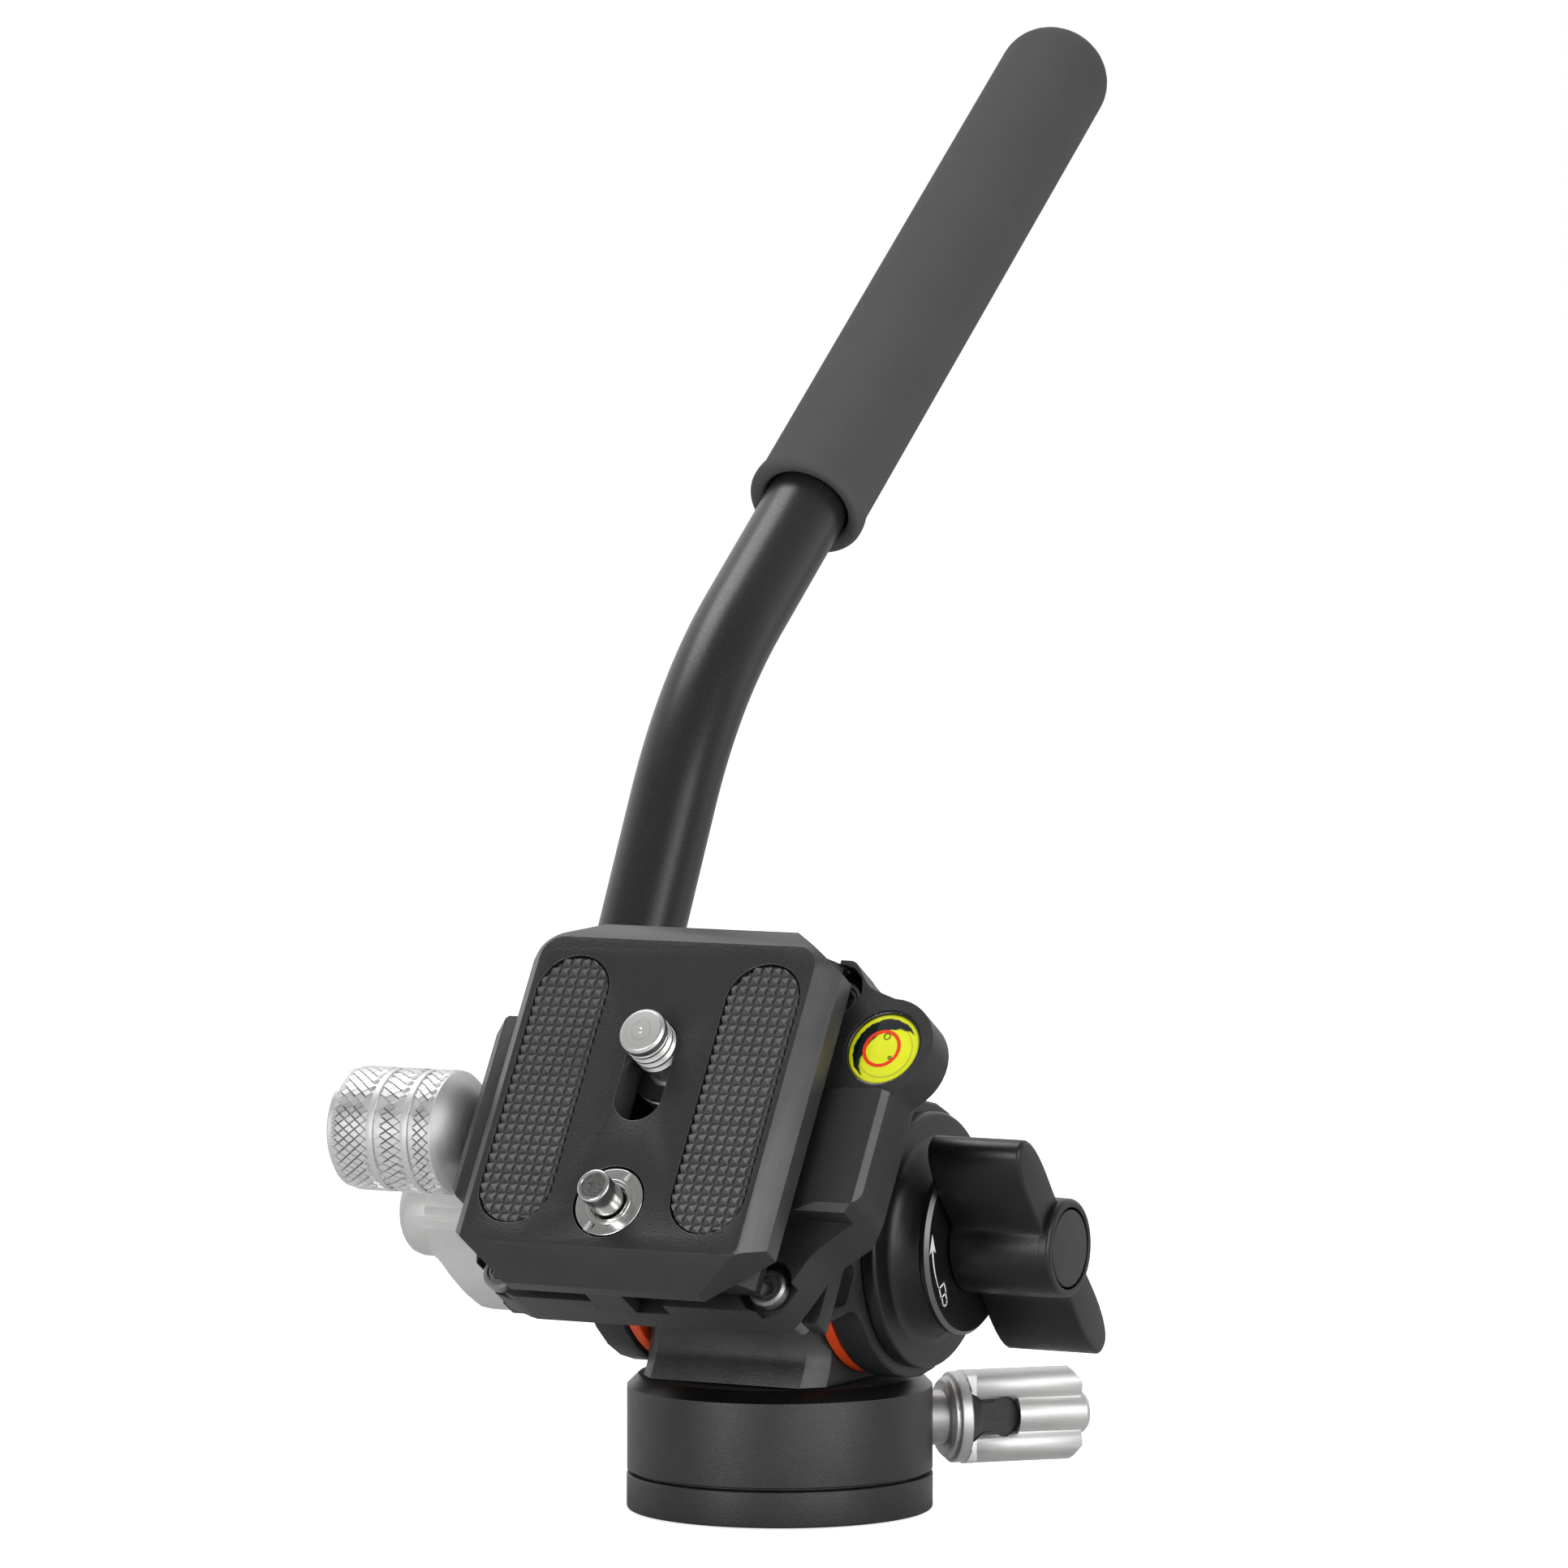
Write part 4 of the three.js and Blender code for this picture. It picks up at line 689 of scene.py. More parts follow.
def block(low: Corner, high: Corner) -> BMesh:
    """Makes a box between two corners.

    Args:
        low: the lowest corner.
        high: the highest corner.
    Returns: the closed mesh.
    """
    size = Vector(high) - Vector(low)
    middle = (Vector(high) + Vector(low)) / 2
    bm = bmesh.new()
    bmesh.ops.create_cube(bm, size=1.0, matrix=Matrix.Translation(middle) @ Matrix.Diagonal((*size, 1.0)))
    return bm


def combined(first: BMesh, second: BMesh, operation: str) -> BMesh:
    """Cuts, unites or intersects two closed meshes.

    Args:
        first: the mesh that is worked on, freed here.
        second: the tool, freed here.
        operation: DIFFERENCE, UNION or INTERSECT.
    Returns: the new mesh.
    """
    pieces = [linked("tool", as_mesh("tool", bm)) for bm in (first, second)]
    rule = pieces[0].modifiers.new("shape", "BOOLEAN")
    rule.operation = operation
    rule.solver = "EXACT"
    rule.object = pieces[1]
    result = bmesh.new()
    result.from_object(pieces[0], bpy.context.evaluated_depsgraph_get())
    for piece in pieces:
        mesh = piece.data
        bpy.data.objects.remove(piece)
        bpy.data.meshes.remove(mesh)
    weld(result)
    return result


def gathered(*parts: BMesh) -> BMesh:
    """Puts several closed meshes into one, side by side.

    Args:
        parts: the meshes, freed here.
    Returns: the new mesh.
    """
    whole = bmesh.new()
    for part in parts:
        mesh = as_mesh("part", part)
        whole.from_mesh(mesh)
        bpy.data.meshes.remove(mesh)
    return whole


def break_edges(
    bm: BMesh, width: float, angle: float = SMOOTH_ANGLE, segments: int = 2,
    choose: Callable[[Vector], bool] = lambda middle: True,
) -> None:
    """Rounds the sharp edges of a mesh.

    Args:
        bm: the mesh.
        width: the width of the rounding.
        angle: edges sharper than this are rounded.
        segments: steps of the rounding.
        choose: tells from an edge's middle whether it is rounded.
    """
    sharp = [
        edge for edge in bm.edges if len(edge.link_faces) == 2 and edge.calc_face_angle(0.0) > angle
        and choose((edge.verts[0].co + edge.verts[1].co) / 2)]
    bmesh.ops.bevel(
        bm, geom=sharp, offset=width, offset_type="OFFSET", segments=segments, profile=0.5, affect="EDGES",
        clamp_overlap=True, material=-1)


def turned(
    corners: Sequence[Corner], axis: Axis = Axis.Z, centre: Corner = (0, 0, 0), steps: int = 96,
    segments: int = 5,
) -> BMesh:
    """Turns a closed section about an axis.

    Args:
        corners: the section's corners as [radius, distance along the axis, rounding].
        axis: the axis that it is turned about.
        centre: a point on the axis.
        steps: steps of the turn.
        segments: steps of each rounded corner.
    Returns: the closed mesh.
    """
    bm = bmesh.new()
    face = flat_face(bm, corners, 0.0, segments)
    bmesh.ops.delete(bm, geom=[face], context="FACES_ONLY")
    bm.transform(QUARTER_X)
    on_axis = [edge for edge in bm.edges if all(abs(vert.co.x) < WELD for vert in edge.verts)]
    bmesh.ops.delete(bm, geom=on_axis, context="EDGES")
    bmesh.ops.spin(
        bm, geom=bm.verts[:] + bm.edges[:], cent=(0, 0, 0), axis=(0, 0, 1), angle=FULL_TURN, steps=steps,
        use_merge=True)
    weld(bm)
    bm.transform(Matrix.Translation(centre) @ axis.matrix)
    outward(bm)
    return bm


def cad_mesh(source: str, bevel_mm: float = 0.0, dissolve: bool = True) -> BMesh:
    """Copies and merges a CAD node's mesh, in metres in the row frame.

    Args:
        source: the node.
        bevel_mm: the width that its sharp edges are rounded by, or 0.
        dissolve: whether flat faces are made whole.
    Returns: the mesh.
    """
    bm = bmesh.new()
    bm.from_mesh(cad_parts[source].data)
    weld(bm, CAD_WELD)
    if dissolve:
        bmesh.ops.dissolve_limit(bm, angle_limit=FLAT_ANGLE, verts=bm.verts[:], edges=bm.edges[:])
    if bevel_mm:
        break_edges(bm, bevel_mm * MM)
    return bm


def paint(piece: Object, place: Place, choose: Callable[[Vector, Vector], int]) -> None:
    """Sets each face's material index from its place and direction.

    Args:
        piece: the object.
        place: the frame that the rule is written in.
        choose: gives the index from the face's middle in millimetres and its normal.
    """
    back = place.matrix.inverted()
    turn = back.to_3x3().normalized()
    for face in piece.data.polygons:
        face.material_index = int(choose(back @ face.center, (turn @ face.normal).normalized()))


@dataclass
class Base:
    """The disc on the tripod and the housing that pans on it."""

    radius: float = 20.0
    disc_height: float = 4.7
    edge: float = 0.35
    bore: float = 6.6
    chamfer_low: float = 15.0
    chamfer_inside: float = 17.0
    chamfer_slope: float = 0.3

    def build(self) -> None:
        """Makes the base disc and the housing."""
        plate = turned([
            [self.bore, 0.0], [self.radius, 0.0, self.edge], [self.radius, self.disc_height, 0.2],
            [self.bore, self.disc_height]], steps=128)
        add("tripod_base_disc", plate, "base", HOUSING_BLACK, ["tripod_base"], place=Place.UPRIGHT)
        housing = add(
            "pan_housing_shell", cad_mesh("pan_housing", 0.1), "pan_body", [HOUSING_BLACK, POLISHED_SHADE_BLACK],
            ["pan_housing"], 20 * DEGREE, Place.ROW)
        # The top chamfer gets the darker finish: painted shade
        paint(housing, Place.UPRIGHT, lambda at, normal: (
            normal.z > self.chamfer_slope and at.z > self.chamfer_low and at.xy.length > self.chamfer_inside))


@dataclass
class Saddle:
    """The drum under the tilt axis, the rings and the cheeks."""

    ring_start: float = 13.7
    ring_end: float = 15.3
    ring_inner: float = 13.8
    ring_outer: float = 17.7
    chamfer_start: float = 10.9
    chamfer_slope: Pair = (0.3, 0.95)

    def build(self) -> None:
        """Makes the drum, the two rings and the two cheeks."""
        drum = add(
            "tilt_saddle_block", cad_mesh("tilt_saddle", 0.12), "pan_body", [SADDLE_BLACK, BRUSHED_SADDLE],
            ["tilt_saddle"], place=Place.ROW)
        low, high = self.chamfer_slope
        paint(drum, Place.UPRIGHT, lambda at, normal: (
            low < abs(normal.x) < high and abs(at.x) > self.chamfer_start))
        for side, sign in (("left", -1), ("right", 1)):
            start = sign * self.ring_start
            end = sign * self.ring_end
            ring = turned([
                [self.ring_inner, start, 0.1], [self.ring_outer, start, 0.2], [self.ring_outer, end, 0.2],
                [self.ring_inner, end, 0.1]], Axis.X)
            add(f"friction_ring_{side}_turned", ring, "pan_body", ORANGE_ACETAL, [f"friction_ring_{side}"])
            cheek = f"cheek_{side}"
            add(f"{cheek}_plate", cad_mesh(cheek, 0.2), "tilt_body", BLASTED_BLACK, [cheek], place=Place.ROW)


@dataclass
class TiltLock:
    """The two covers, the marked dial and the winged knob."""

    bore: float = 3.3
    cover_radius: float = 16.6
    cover_start: float = 20.7
    rim_end: float = 22.5
    boss_end: float = 26.2
    dial_start: float = 26.5
    dial_end: float = 27.7
    dial_radius: float = 12.0
    dial_chamfer: float = 0.5
    chamfer_slope: Pair = (0.3, 0.95)
    knob_start: float = 28.0
    wing_length: float = 13.2
    hub_length: float = 14.2
    hub_radius: float = 6.45
    reach: float = 18.8
    power: float = 2.6
    spread: float = 16.0 * DEGREE
    lean: float = 40 * DEGREE
    cap_radius: float = 5.0
    steps: int = 180
    mark_radius: float = 10.45
    arrow_start: float = 151.0 * DEGREE
    arrow_neck: float = 121.5 * DEGREE
    arrow_steps: int = 12
    print_depth: float = 0.03
    padlock_lean: float = -35 * DEGREE
    padlock_at: Pair = (-9.1, 3.0)

    def build(self) -> None:
        """Makes the covers, the dial, the knob, its cap and the marks."""
        cover = turned([
            [self.bore, self.cover_start], [self.cover_radius, self.cover_start],
            [self.cover_radius, self.rim_end, 0.45], [12.9, self.rim_end, 0.9], [11.5, 24.35, 1.6],
            [11.2, self.boss_end, 0.3], [self.bore, self.boss_end]], Axis.X, steps=128)
        add("right_cover_turned", cover, "tilt_body", COVER_BLACK, ["right_cover"])
        cover = cad_mesh("left_cover", 0.1)
        add("left_cover_turned", cover, "tilt_body", COVER_BLACK, ["left_cover"], place=Place.ROW)
        dial = turned([
            [self.bore, self.dial_start], [self.dial_radius, self.dial_start, 0.15],
            [self.dial_radius, self.dial_end - self.dial_chamfer],
            [self.dial_radius - self.dial_chamfer, self.dial_end], [self.bore, self.dial_end]],
            Axis.X, steps=128)
        finishes = [SATIN_BLACK, BRIGHT_CHAMFER]
        piece = add("tilt_lock_dial_turned", dial, "tilt_body", finishes, ["tilt_lock_dial"])
        low, high = self.chamfer_slope
        paint(piece, Place.HEAD, lambda at, normal: low < normal.x < high)
        self.knob()
        self.marks()

    def knob(self) -> None:
        """Makes the winged knob and the plain disc in its end."""
        turn = self.lean - TILT_LEAN + math.pi / 2
        corners = []
        for i in range(self.steps):
            angle = FULL_TURN * i / self.steps
            off = abs((angle + math.pi / 2) % math.pi - math.pi / 2) / self.spread
            radius = self.hub_radius + (self.reach - self.hub_radius) * math.exp(-off ** self.power)
            corners.append(polar(radius, angle + turn))
        wings = prism(corners, self.knob_start, self.knob_start + self.wing_length)
        break_edges(wings, 0.55, 60 * DEGREE, 4)
        wings.transform(CYCLE_AXES)
        end = self.knob_start + self.hub_length
        hub_radius = self.hub_radius - 0.03
        seat = self.cap_radius + 0.3
        hub = turned([
            [0, self.knob_start + 0.1], [hub_radius, self.knob_start + 0.1], [hub_radius, end, 0.6],
            [seat, end, 0.15], [seat, end - 1.0], [0, end - 1.0]], Axis.X)
        add("tilt_lock_knob_body", gathered(wings, hub), "tilt_lock", SATIN_BLACK, ["tilt_lock_knob"])
        cap = turned([
            [0, end - 0.8], [self.cap_radius, end - 0.8], [self.cap_radius, end - 0.05, 0.2], [0, end]],
            Axis.X)
        add("tilt_knob_cap_disc", cap, "tilt_lock", CAP_BLACK, ["tilt_knob_cap"])

    def marks(self) -> None:
        """Prints the arrow and the open padlock on the dial."""
        ring = self.mark_radius
        outer, inner = [], []
        for i in range(self.arrow_steps + 1):
            share = i / self.arrow_steps
            angle = self.arrow_start + (self.arrow_neck - self.arrow_start) * share
            radius = ring - 0.35 + 0.4 * share
            half = 0.07 + 0.13 * share
            outer.append(polar(radius + half, angle))
            inner.append(polar(radius - half, angle))
        bm = bmesh.new()
        flat_face(bm, outer + inner[::-1])
        head = [(124.0, ring + 0.9), (110.5, ring + 0.35), (124.0, ring - 0.85), (121.0, ring + 0.02)]
        flat_face(bm, [polar(radius, angle * DEGREE) for angle, radius in head])
        self.padlock(bm)
        thicken(bm, bm.faces[:], self.print_depth)
        bm.transform(Matrix.Translation((self.dial_end - 0.01, 0, 0)) @ CYCLE_AXES)
        add("dial_marks_print", bm, "tilt_body", PRINT_WHITE)

    def padlock(self, bm: BMesh) -> None:
        """Draws the padlock's outline from short bars.

        Args:
            bm: the mesh that gets it.
        """
        body = [(-0.75, 0.1), (0.75, 0.1), (0.75, 1.5), (-0.75, 1.5)]
        shackle = [(-0.55, 0.1), (-0.6, -0.9), (-0.3, -1.35), (0.3, -1.35), (0.6, -0.9), (0.55, 0.1)]
        lines = [(body[i], body[(i + 1) % 4]) for i in range(4)] + list(zip(shackle, shackle[1:]))
        turn = Matrix.Rotation(self.padlock_lean, 2)
        shift = Vector(self.padlock_at)
        for first, second in lines:
            a = turn @ Vector(first)
            b = turn @ Vector(second)
            side = (b - a).orthogonal().normalized() * 0.13
            ahead = (b - a).normalized() * 0.1
            quad = [a - ahead + side, b + ahead + side, b + ahead - side, a - ahead - side]
            flat_face(bm, [tuple(point + shift) for point in quad])


@dataclass
class Clamp:
    """The platform with its fixed jaw, the movable jaw, the screws and the knurled knob."""

    platform_slope: Pair = (0.5, 0.9)
    slope_low: float = 24.0
    jaw_slope: Pair = (0.2, 0.97)
    screws: tuple[tuple[str, float, float], ...] = (
        ("front_right", 19.2, -22.6), ("front_left", -19.2, -22.6), ("rear_right", 19.2, 17.9),
        ("rear_left", -19.2, 17.9))
    knob_start: float = -28.1
    bell_end: float = -32.5
    barrel_end: float = -48.7
    radius: float = 8.1
    bell_radius: float = 9.8
    bell_back: float = 5.66
    bell_steps: int = 20
    bands: tuple[Pair, ...] = ((-35.8, -36.9), (-40.9, -42.0))
    around: int = 40
    row_mm: float = 1.75
    groove: float = 0.16
    depth: float = 0.35
    end_fall: float = 2.2
    end_drop: float = 1.3
    inner_share: float = 0.82

    def build(self) -> None:
        """Makes the platform, jaw, knob and screws."""
        base = add(
            "clamp_base_body", cad_mesh("clamp_base", dissolve=False), "tilt_body",
            [PLATFORM_BLACK, BRUSHED_PLATFORM], ["clamp_base"], place=Place.ROW)
        # The platform's slopes get the lighter milled finish: painted sheen
        low, high = self.platform_slope
        paint(base, Place.HEAD, lambda at, normal: low < normal.z < high and at.z > self.slope_low)
        jaw = add(
            "movable_jaw_bar", cad_mesh("movable_jaw", 0.2), "jaw", [BLASTED_BLACK, BRUSHED_PLATE],
            ["movable_jaw"], place=Place.ROW)
        # The jaw's slopes get the lighter milled finish: painted sheen
        low, high = self.jaw_slope
        paint(jaw, Place.HEAD, lambda at, normal: low < abs(normal.z) < high)
        self.knob()
        for corner, across, along in self.screws:
            self.screw(corner, across, along)

    @staticmethod
    def screw(corner: str, across: float, along: float) -> None:
        """Makes a corner screw: a flat head with a hexagon socket on a plain shank.

        Args:
            corner: its place on the platform.
            across: its axis's place to the right.
            along: its axis's place to the rear.
        """
        low, seat, high, head, shank, socket = 21.5, 31.3, 33.0, 2.55, 1.5, 1.4
        body = turned([
            [0, low], [shank, low, 0.3], [shank, seat], [head, seat, 0.1], [head, high - 0.35],
            [head - 0.35, high], [socket + 0.45, high], [socket + 0.2, high - 0.15], [0, high - 0.15]],
            Axis.Z, (across, along, 0.0), 64)
        points = (polar(socket, i * FULL_TURN / 6 + 0.3) for i in range(6))
        hexagon = prism([[across + x, along + y] for x, y in points], high - 1.2, high + 1)
        body = combined(body, hexagon, "DIFFERENCE")
        nodes = [f"platform_screw_{corner}"]
        add(f"platform_screw_{corner}_head", body, "tilt_body", DULL_STEEL, nodes, 25 * DEGREE)

    def knob(self) -> None:
        """Makes the knob: the bell, the barrel with its smooth bands and the knurled zones between."""
        length = self.knob_start - self.bell_end
        bell = []
        for i in range(self.bell_steps):
            along = (length - 0.35) * (1 - i / self.bell_steps)
            radius = math.sqrt(self.bell_radius ** 2 - (along + self.bell_back) ** 2)
            bell.append([radius, self.bell_end + along])
        low = self.radius - self.depth
        bands = [
            corner for start, end in self.bands
            for corner in ([low, start], [self.radius - 0.05, start - 0.1, 0.1],
                           [self.radius - 0.05, end + 0.1, 0.1], [low, end])]
        core = turned([
            [0, self.knob_start - 0.3], *bell, [self.radius - 0.1, self.bell_end],
            [self.radius - 0.1, self.bell_end - 0.2],
            [low, self.bell_end - 0.4], *bands, [low, self.barrel_end + 0.9],
            [low - 1.1, self.barrel_end, 0.6], [4.6, self.barrel_end, 0.2], [3.6, self.barrel_end + 1.0],
            [0, self.barrel_end + 1.0]], Axis.X, CLAMP_AXIS, steps=128)
        ends = [self.bell_end - 0.3, *self.bands[0], *self.bands[1], self.barrel_end + 0.25]
        zones = [
            self.knurl(start, end, fall)
            for start, end, fall in zip(ends[::2], ends[1::2], (0.0, 0.0, self.end_fall))]
        for zone in zones:
            zone.transform(Matrix.Translation(CLAMP_AXIS) @ Axis.X.matrix)
        knurled = sum(len(zone.faces) for zone in zones)
        piece = add(
            "clamp_knob_knurled", gathered(core, *zones), "clamp_lock", [CLAMP_SILVER, KNURLED_SILVER],
            ["clamp_knob"], 30 * DEGREE)
        for face in piece.data.polygons[len(piece.data.polygons) - knurled:]:
            face.material_index = 1

    def knurl(self, start: float, end: float, fall: float) -> BMesh:
        """Makes a ring of flat-topped diamonds with grooves between.

        Args:
            start: its right end along the knob's axis.
            end: its left end.
            fall: length over which the far end is rounded off, or 0.
        Returns: the closed mesh, with its axis along Z.
        """
        rows = max(2, round((start - end) / self.row_mm))
        bm = bmesh.new()
        bmesh.ops.create_grid(bm, x_segments=self.around, y_segments=rows, size=0.5)
        between = [edge for edge in bm.edges if len(edge.link_faces) == 2]
        bmesh.ops.poke(bm, faces=bm.faces[:])
        bmesh.ops.dissolve_edges(bm, edges=[edge for edge in between if edge.is_valid], use_verts=False)
        bmesh.ops.scale(bm, vec=(FULL_TURN * self.radius, start - end, 1.0), verts=bm.verts[:])
        tops = [face for face in bm.faces if len(face.verts) == 4]
        bmesh.ops.inset_individual(bm, faces=tops, thickness=self.groove, depth=self.depth)
        for vert in bm.verts:
            along = end + vert.co.y + (start - end) / 2
            past = max(0.0, (end + fall) - along) / fall if fall else 0.0
            radius = self.radius - self.depth + vert.co.z - self.end_drop * past ** 2
            vert.co = (*polar(radius, vert.co.x / self.radius), along)
        weld(bm)
        walls = bmesh.ops.extrude_edge_only(bm, edges=open_edges(bm))
        bmesh.ops.scale(bm, vec=(self.inner_share, self.inner_share, 1.0), verts=new_verts(walls))
        bmesh.ops.bridge_loops(bm, edges=open_edges(bm))
        outward(bm)
        return bm


class PlateFace(IntEnum):
    """The material index of each kind of face on the camera plate."""

    BLASTED = 0
    MILLED = 1
    TOP = 2
    END = 3
    EDGE = 4


@dataclass
class CameraPlate:
    """The dovetail plate, its pads, the screw and the pin."""

    half: float = 22.4
    front: float = -27.3
    rear: float = 23.8
    slab: float = 5.9
    across: float = 8.4
    along: float = 6.1
    side_width: float = 2.5
    side_depth: float = 2.9
    end_width: float = 3.9
    corner_round: float = 3.0
    rail_foot: float = 19.0
    rail_neck: float = 16.4
    pad_across: float = 13.8
    pad_half: float = 5.0
    pad_front: float = -20.5
    pad_back: float = 17.0
    pad_fit: float = 0.3
    pad_depth: float = 1.3
    pad_rise: float = 0.25
    pitch: float = 1.4
    point: float = 0.75
    seat_lean: float = 62 * DEGREE

    def build(self) -> None:
        """Makes the plate and what it carries."""
        self.plate()
        for side, sign in (("left", -1), ("right", 1)):
            self.pad(side, sign * self.pad_across)
        self.camera_screw()
        self.pin()

    def plate(self) -> None:
        """Makes the plate: a cornered slab under a rounded frustum, with its rail and pockets."""
        low = PLATE_TOP - self.slab
        body = combined(self.cornered(low), self.frustum(low), "INTERSECT")
        break_edges(body, 0.28, 15 * DEGREE, 2, lambda middle: middle.z > low + 0.5)
        foot, neck, lip = self.rail_foot, self.rail_neck, low + 0.5
        rail = prism([
            [-foot, 33.6], [foot, 33.6], [foot, 34.9], [neck, low], [neck, lip], [-neck, lip], [-neck, low],
            [-foot, 34.9]], -21.8, 24.2)
        rail.transform(QUARTER_X)
        outward(rail)
        body = combined(body, rail, "UNION")
        body = combined(body, block((-3.9, -26.8, 31.6), (1.3, -25.4, lip)), "UNION")
        fit = self.pad_half + self.pad_fit
        above = PLATE_TOP + 1
        front, back = self.pad_front - self.pad_fit, self.pad_back + self.pad_fit
        cuts = [
            prism(stadium(sign * self.pad_across, front, back, fit), PLATE_TOP - self.pad_depth, above, 16)
            for sign in (1, -1)]
        cuts += [
            prism(stadium(0.0, -5.6, 8.7, 3.4), 30.0, above, 16),
            prism(stadium(0.0, -8.4, 11.5, 6.2), 30.0, 38.6, 16),
            disc(PIN_AXIS, 5.0, 42.1, above), disc(PIN_AXIS, 3.2, 35.0, above)]
        for cut in cuts:
            body = combined(body, cut, "DIFFERENCE")
        break_edges(body, 0.14, 70 * DEGREE, 2, lambda middle: middle.z > PLATE_TOP - 0.02)
        finishes = [BLASTED_BLACK, BRUSHED_PLATE, PLATE_SHADE_BLACK, BRUSHED_ACROSS_SHADE, BRIGHT_EDGE]
        piece = add("camera_plate_body", body, "plate", finishes, ["camera_plate"], 30 * DEGREE)
        paint(piece, Place.HEAD, self.choose)

    def cornered(self, low: float) -> BMesh:
        """Makes the slab with its four cut corners.

        Args:
            low: the height of its underside.
        Returns: the closed mesh.
        """
        inner = self.half - self.across
        ends = (self.front, self.front + self.along, self.rear - self.along, self.rear)
        right = list(zip((inner, self.half, self.half, inner), ends))
        return prism(right + [(-x, y) for x, y in right[::-1]], low, PLATE_TOP)

    def frustum(self, low: float) -> BMesh:
        """Makes the block that widens downward and so leaves the plate's sloping sides.

        Args:
            low: the height of the slab's underside.
        Returns: the closed mesh.
        """
        half = self.half - self.side_width
        front = self.front + self.end_width
        rear = self.rear - self.end_width
        bm = prism([
            [-half, front, 0.8], [half, front, 1.6], [half, rear, self.corner_round],
            [-half, rear, self.corner_round]], low - 1, PLATE_TOP)
        middle = (front + rear) / 2
        fall = self.slab + 1
        wide = 1 + self.side_width * fall / self.side_depth / half
        deep = 1 + fall / ((rear - front) / 2)
        for vert in bm.verts:
            if vert.co.z < low:
                vert.co.x *= wide
                vert.co.y = middle + (vert.co.y - middle) * deep
        return bm

    @staticmethod
    def choose(at: Vector, normal: Vector) -> PlateFace:
        """Picks the plate's finish.

        Args:
            at: the face's middle.
            normal: its direction.
        Returns: the kind of face.
        """
        # The top face gets the darker copy: painted shade
        if normal.z > 0.98 and at.z > PLATE_TOP - 0.6:
            return PlateFace.TOP
        # The rounded top edges get the bright finish: painted highlight
        if 0.8 < normal.z < 0.97 and at.z > PLATE_TOP - 0.4:
            return PlateFace.EDGE
        # The slot's walls get the lighter milled finish: painted sheen
        if abs(at.x) < 3.5 and -6 < at.y < 9 and at.z > PLATE_TOP - 5.1:
            return PlateFace.MILLED
        outside = abs(at.x) > 18 or not -22 < at.y < 18.5
        if at.z < PLATE_TOP - 5.7 or not outside:
            return PlateFace.BLASTED
        # Faces that face the front get the darker end copy, painted shade, and the others the lighter milled
        # copy, painted sheen
        return PlateFace.END if -normal.y > abs(normal.x) else PlateFace.MILLED

    def pad(self, side: str, across: float) -> None:
        """Makes a rubber pad with rows of small pyramids.

        Args:
            side: its name.
            across: the place of its middle line.
        """
        columns = math.ceil(2 * self.pad_half / self.pitch)
        rows = math.ceil((self.pad_back - self.pad_front) / self.pitch)
        top = PLATE_TOP + self.pad_rise
        bm = bmesh.new()
        size = Matrix.Diagonal((columns * self.pitch, rows * self.pitch, 1.0, 1.0))
        middle = Matrix.Translation((across, (self.pad_front + self.pad_back) / 2, top - self.point))
        bmesh.ops.create_grid(bm, x_segments=columns, y_segments=rows, size=0.5, matrix=middle @ size)
        bmesh.ops.poke(bm, faces=bm.faces[:], offset=self.point)
        for vert in new_verts(bmesh.ops.extrude_edge_only(bm, edges=open_edges(bm))):
            vert.co.z = PLATE_TOP - self.pad_depth + 0.2
        bmesh.ops.holes_fill(bm, edges=open_edges(bm), sides=0)
        outward(bm)
        outline = stadium(across, self.pad_front, self.pad_back, self.pad_half)
        rubber = combined(bm, prism(outline, PLATE_TOP - 1.0, top + 1, 16), "INTERSECT")
        add(f"plate_pad_{side}_rubber", rubber, "plate", PAD_RUBBER, [f"plate_pad_{side}"], 20 * DEGREE)

    @staticmethod
    def camera_screw() -> None:
        """Makes the camera screw with its thread."""
        head_low, head_top, head, tip, root, crest = 34.5, 37.5, 5.7, 47.4, 2.72, 3.17
        core = turned([
            [0, head_low], [head, head_low, 0.2], [head, head_top, 0.2], [root, head_top], [root, tip - 1.6],
            [crest, tip - 1.3], [crest, tip - 0.4, 0.1], [crest - 0.35, tip, 0.15], [0.42, tip],
            [0.0, tip - 0.3]], Axis.Z, SCREW_AXIS, 64)
        core = combined(core, block((-6.7, 4.7, 33.0), (6.7, 5.9, 35.7)), "DIFFERENCE")
        pitch, turns, steps, buried, thread_start = 1.27, 4, 36, 2.2, tip - 6.7
        ridge = bmesh.new()
        section = [
            (buried, -0.56), (root, -0.54), (crest, -0.16), (crest, 0.16), (root, 0.54), (buried, 0.56)]
        verts = [ridge.verts.new((radius, 0, thread_start + up)) for radius, up in section]
        first = ridge.faces.new(verts)
        bmesh.ops.spin(
            ridge, geom=first.edges[:], cent=(0, 0, 0), axis=(0, 0, 1), angle=turns * FULL_TURN,
            steps=turns * steps, dvec=(0, 0, pitch / steps), use_merge=False)
        bmesh.ops.holes_fill(ridge, edges=open_edges(ridge), sides=0)
        outward(ridge)
        ridge.transform(Matrix.Translation(SCREW_AXIS))
        screw = gathered(core, ridge)
        add("camera_screw_steel", screw, "mount_screw", SCREW_STEEL, ["camera_screw"], 30 * DEGREE)

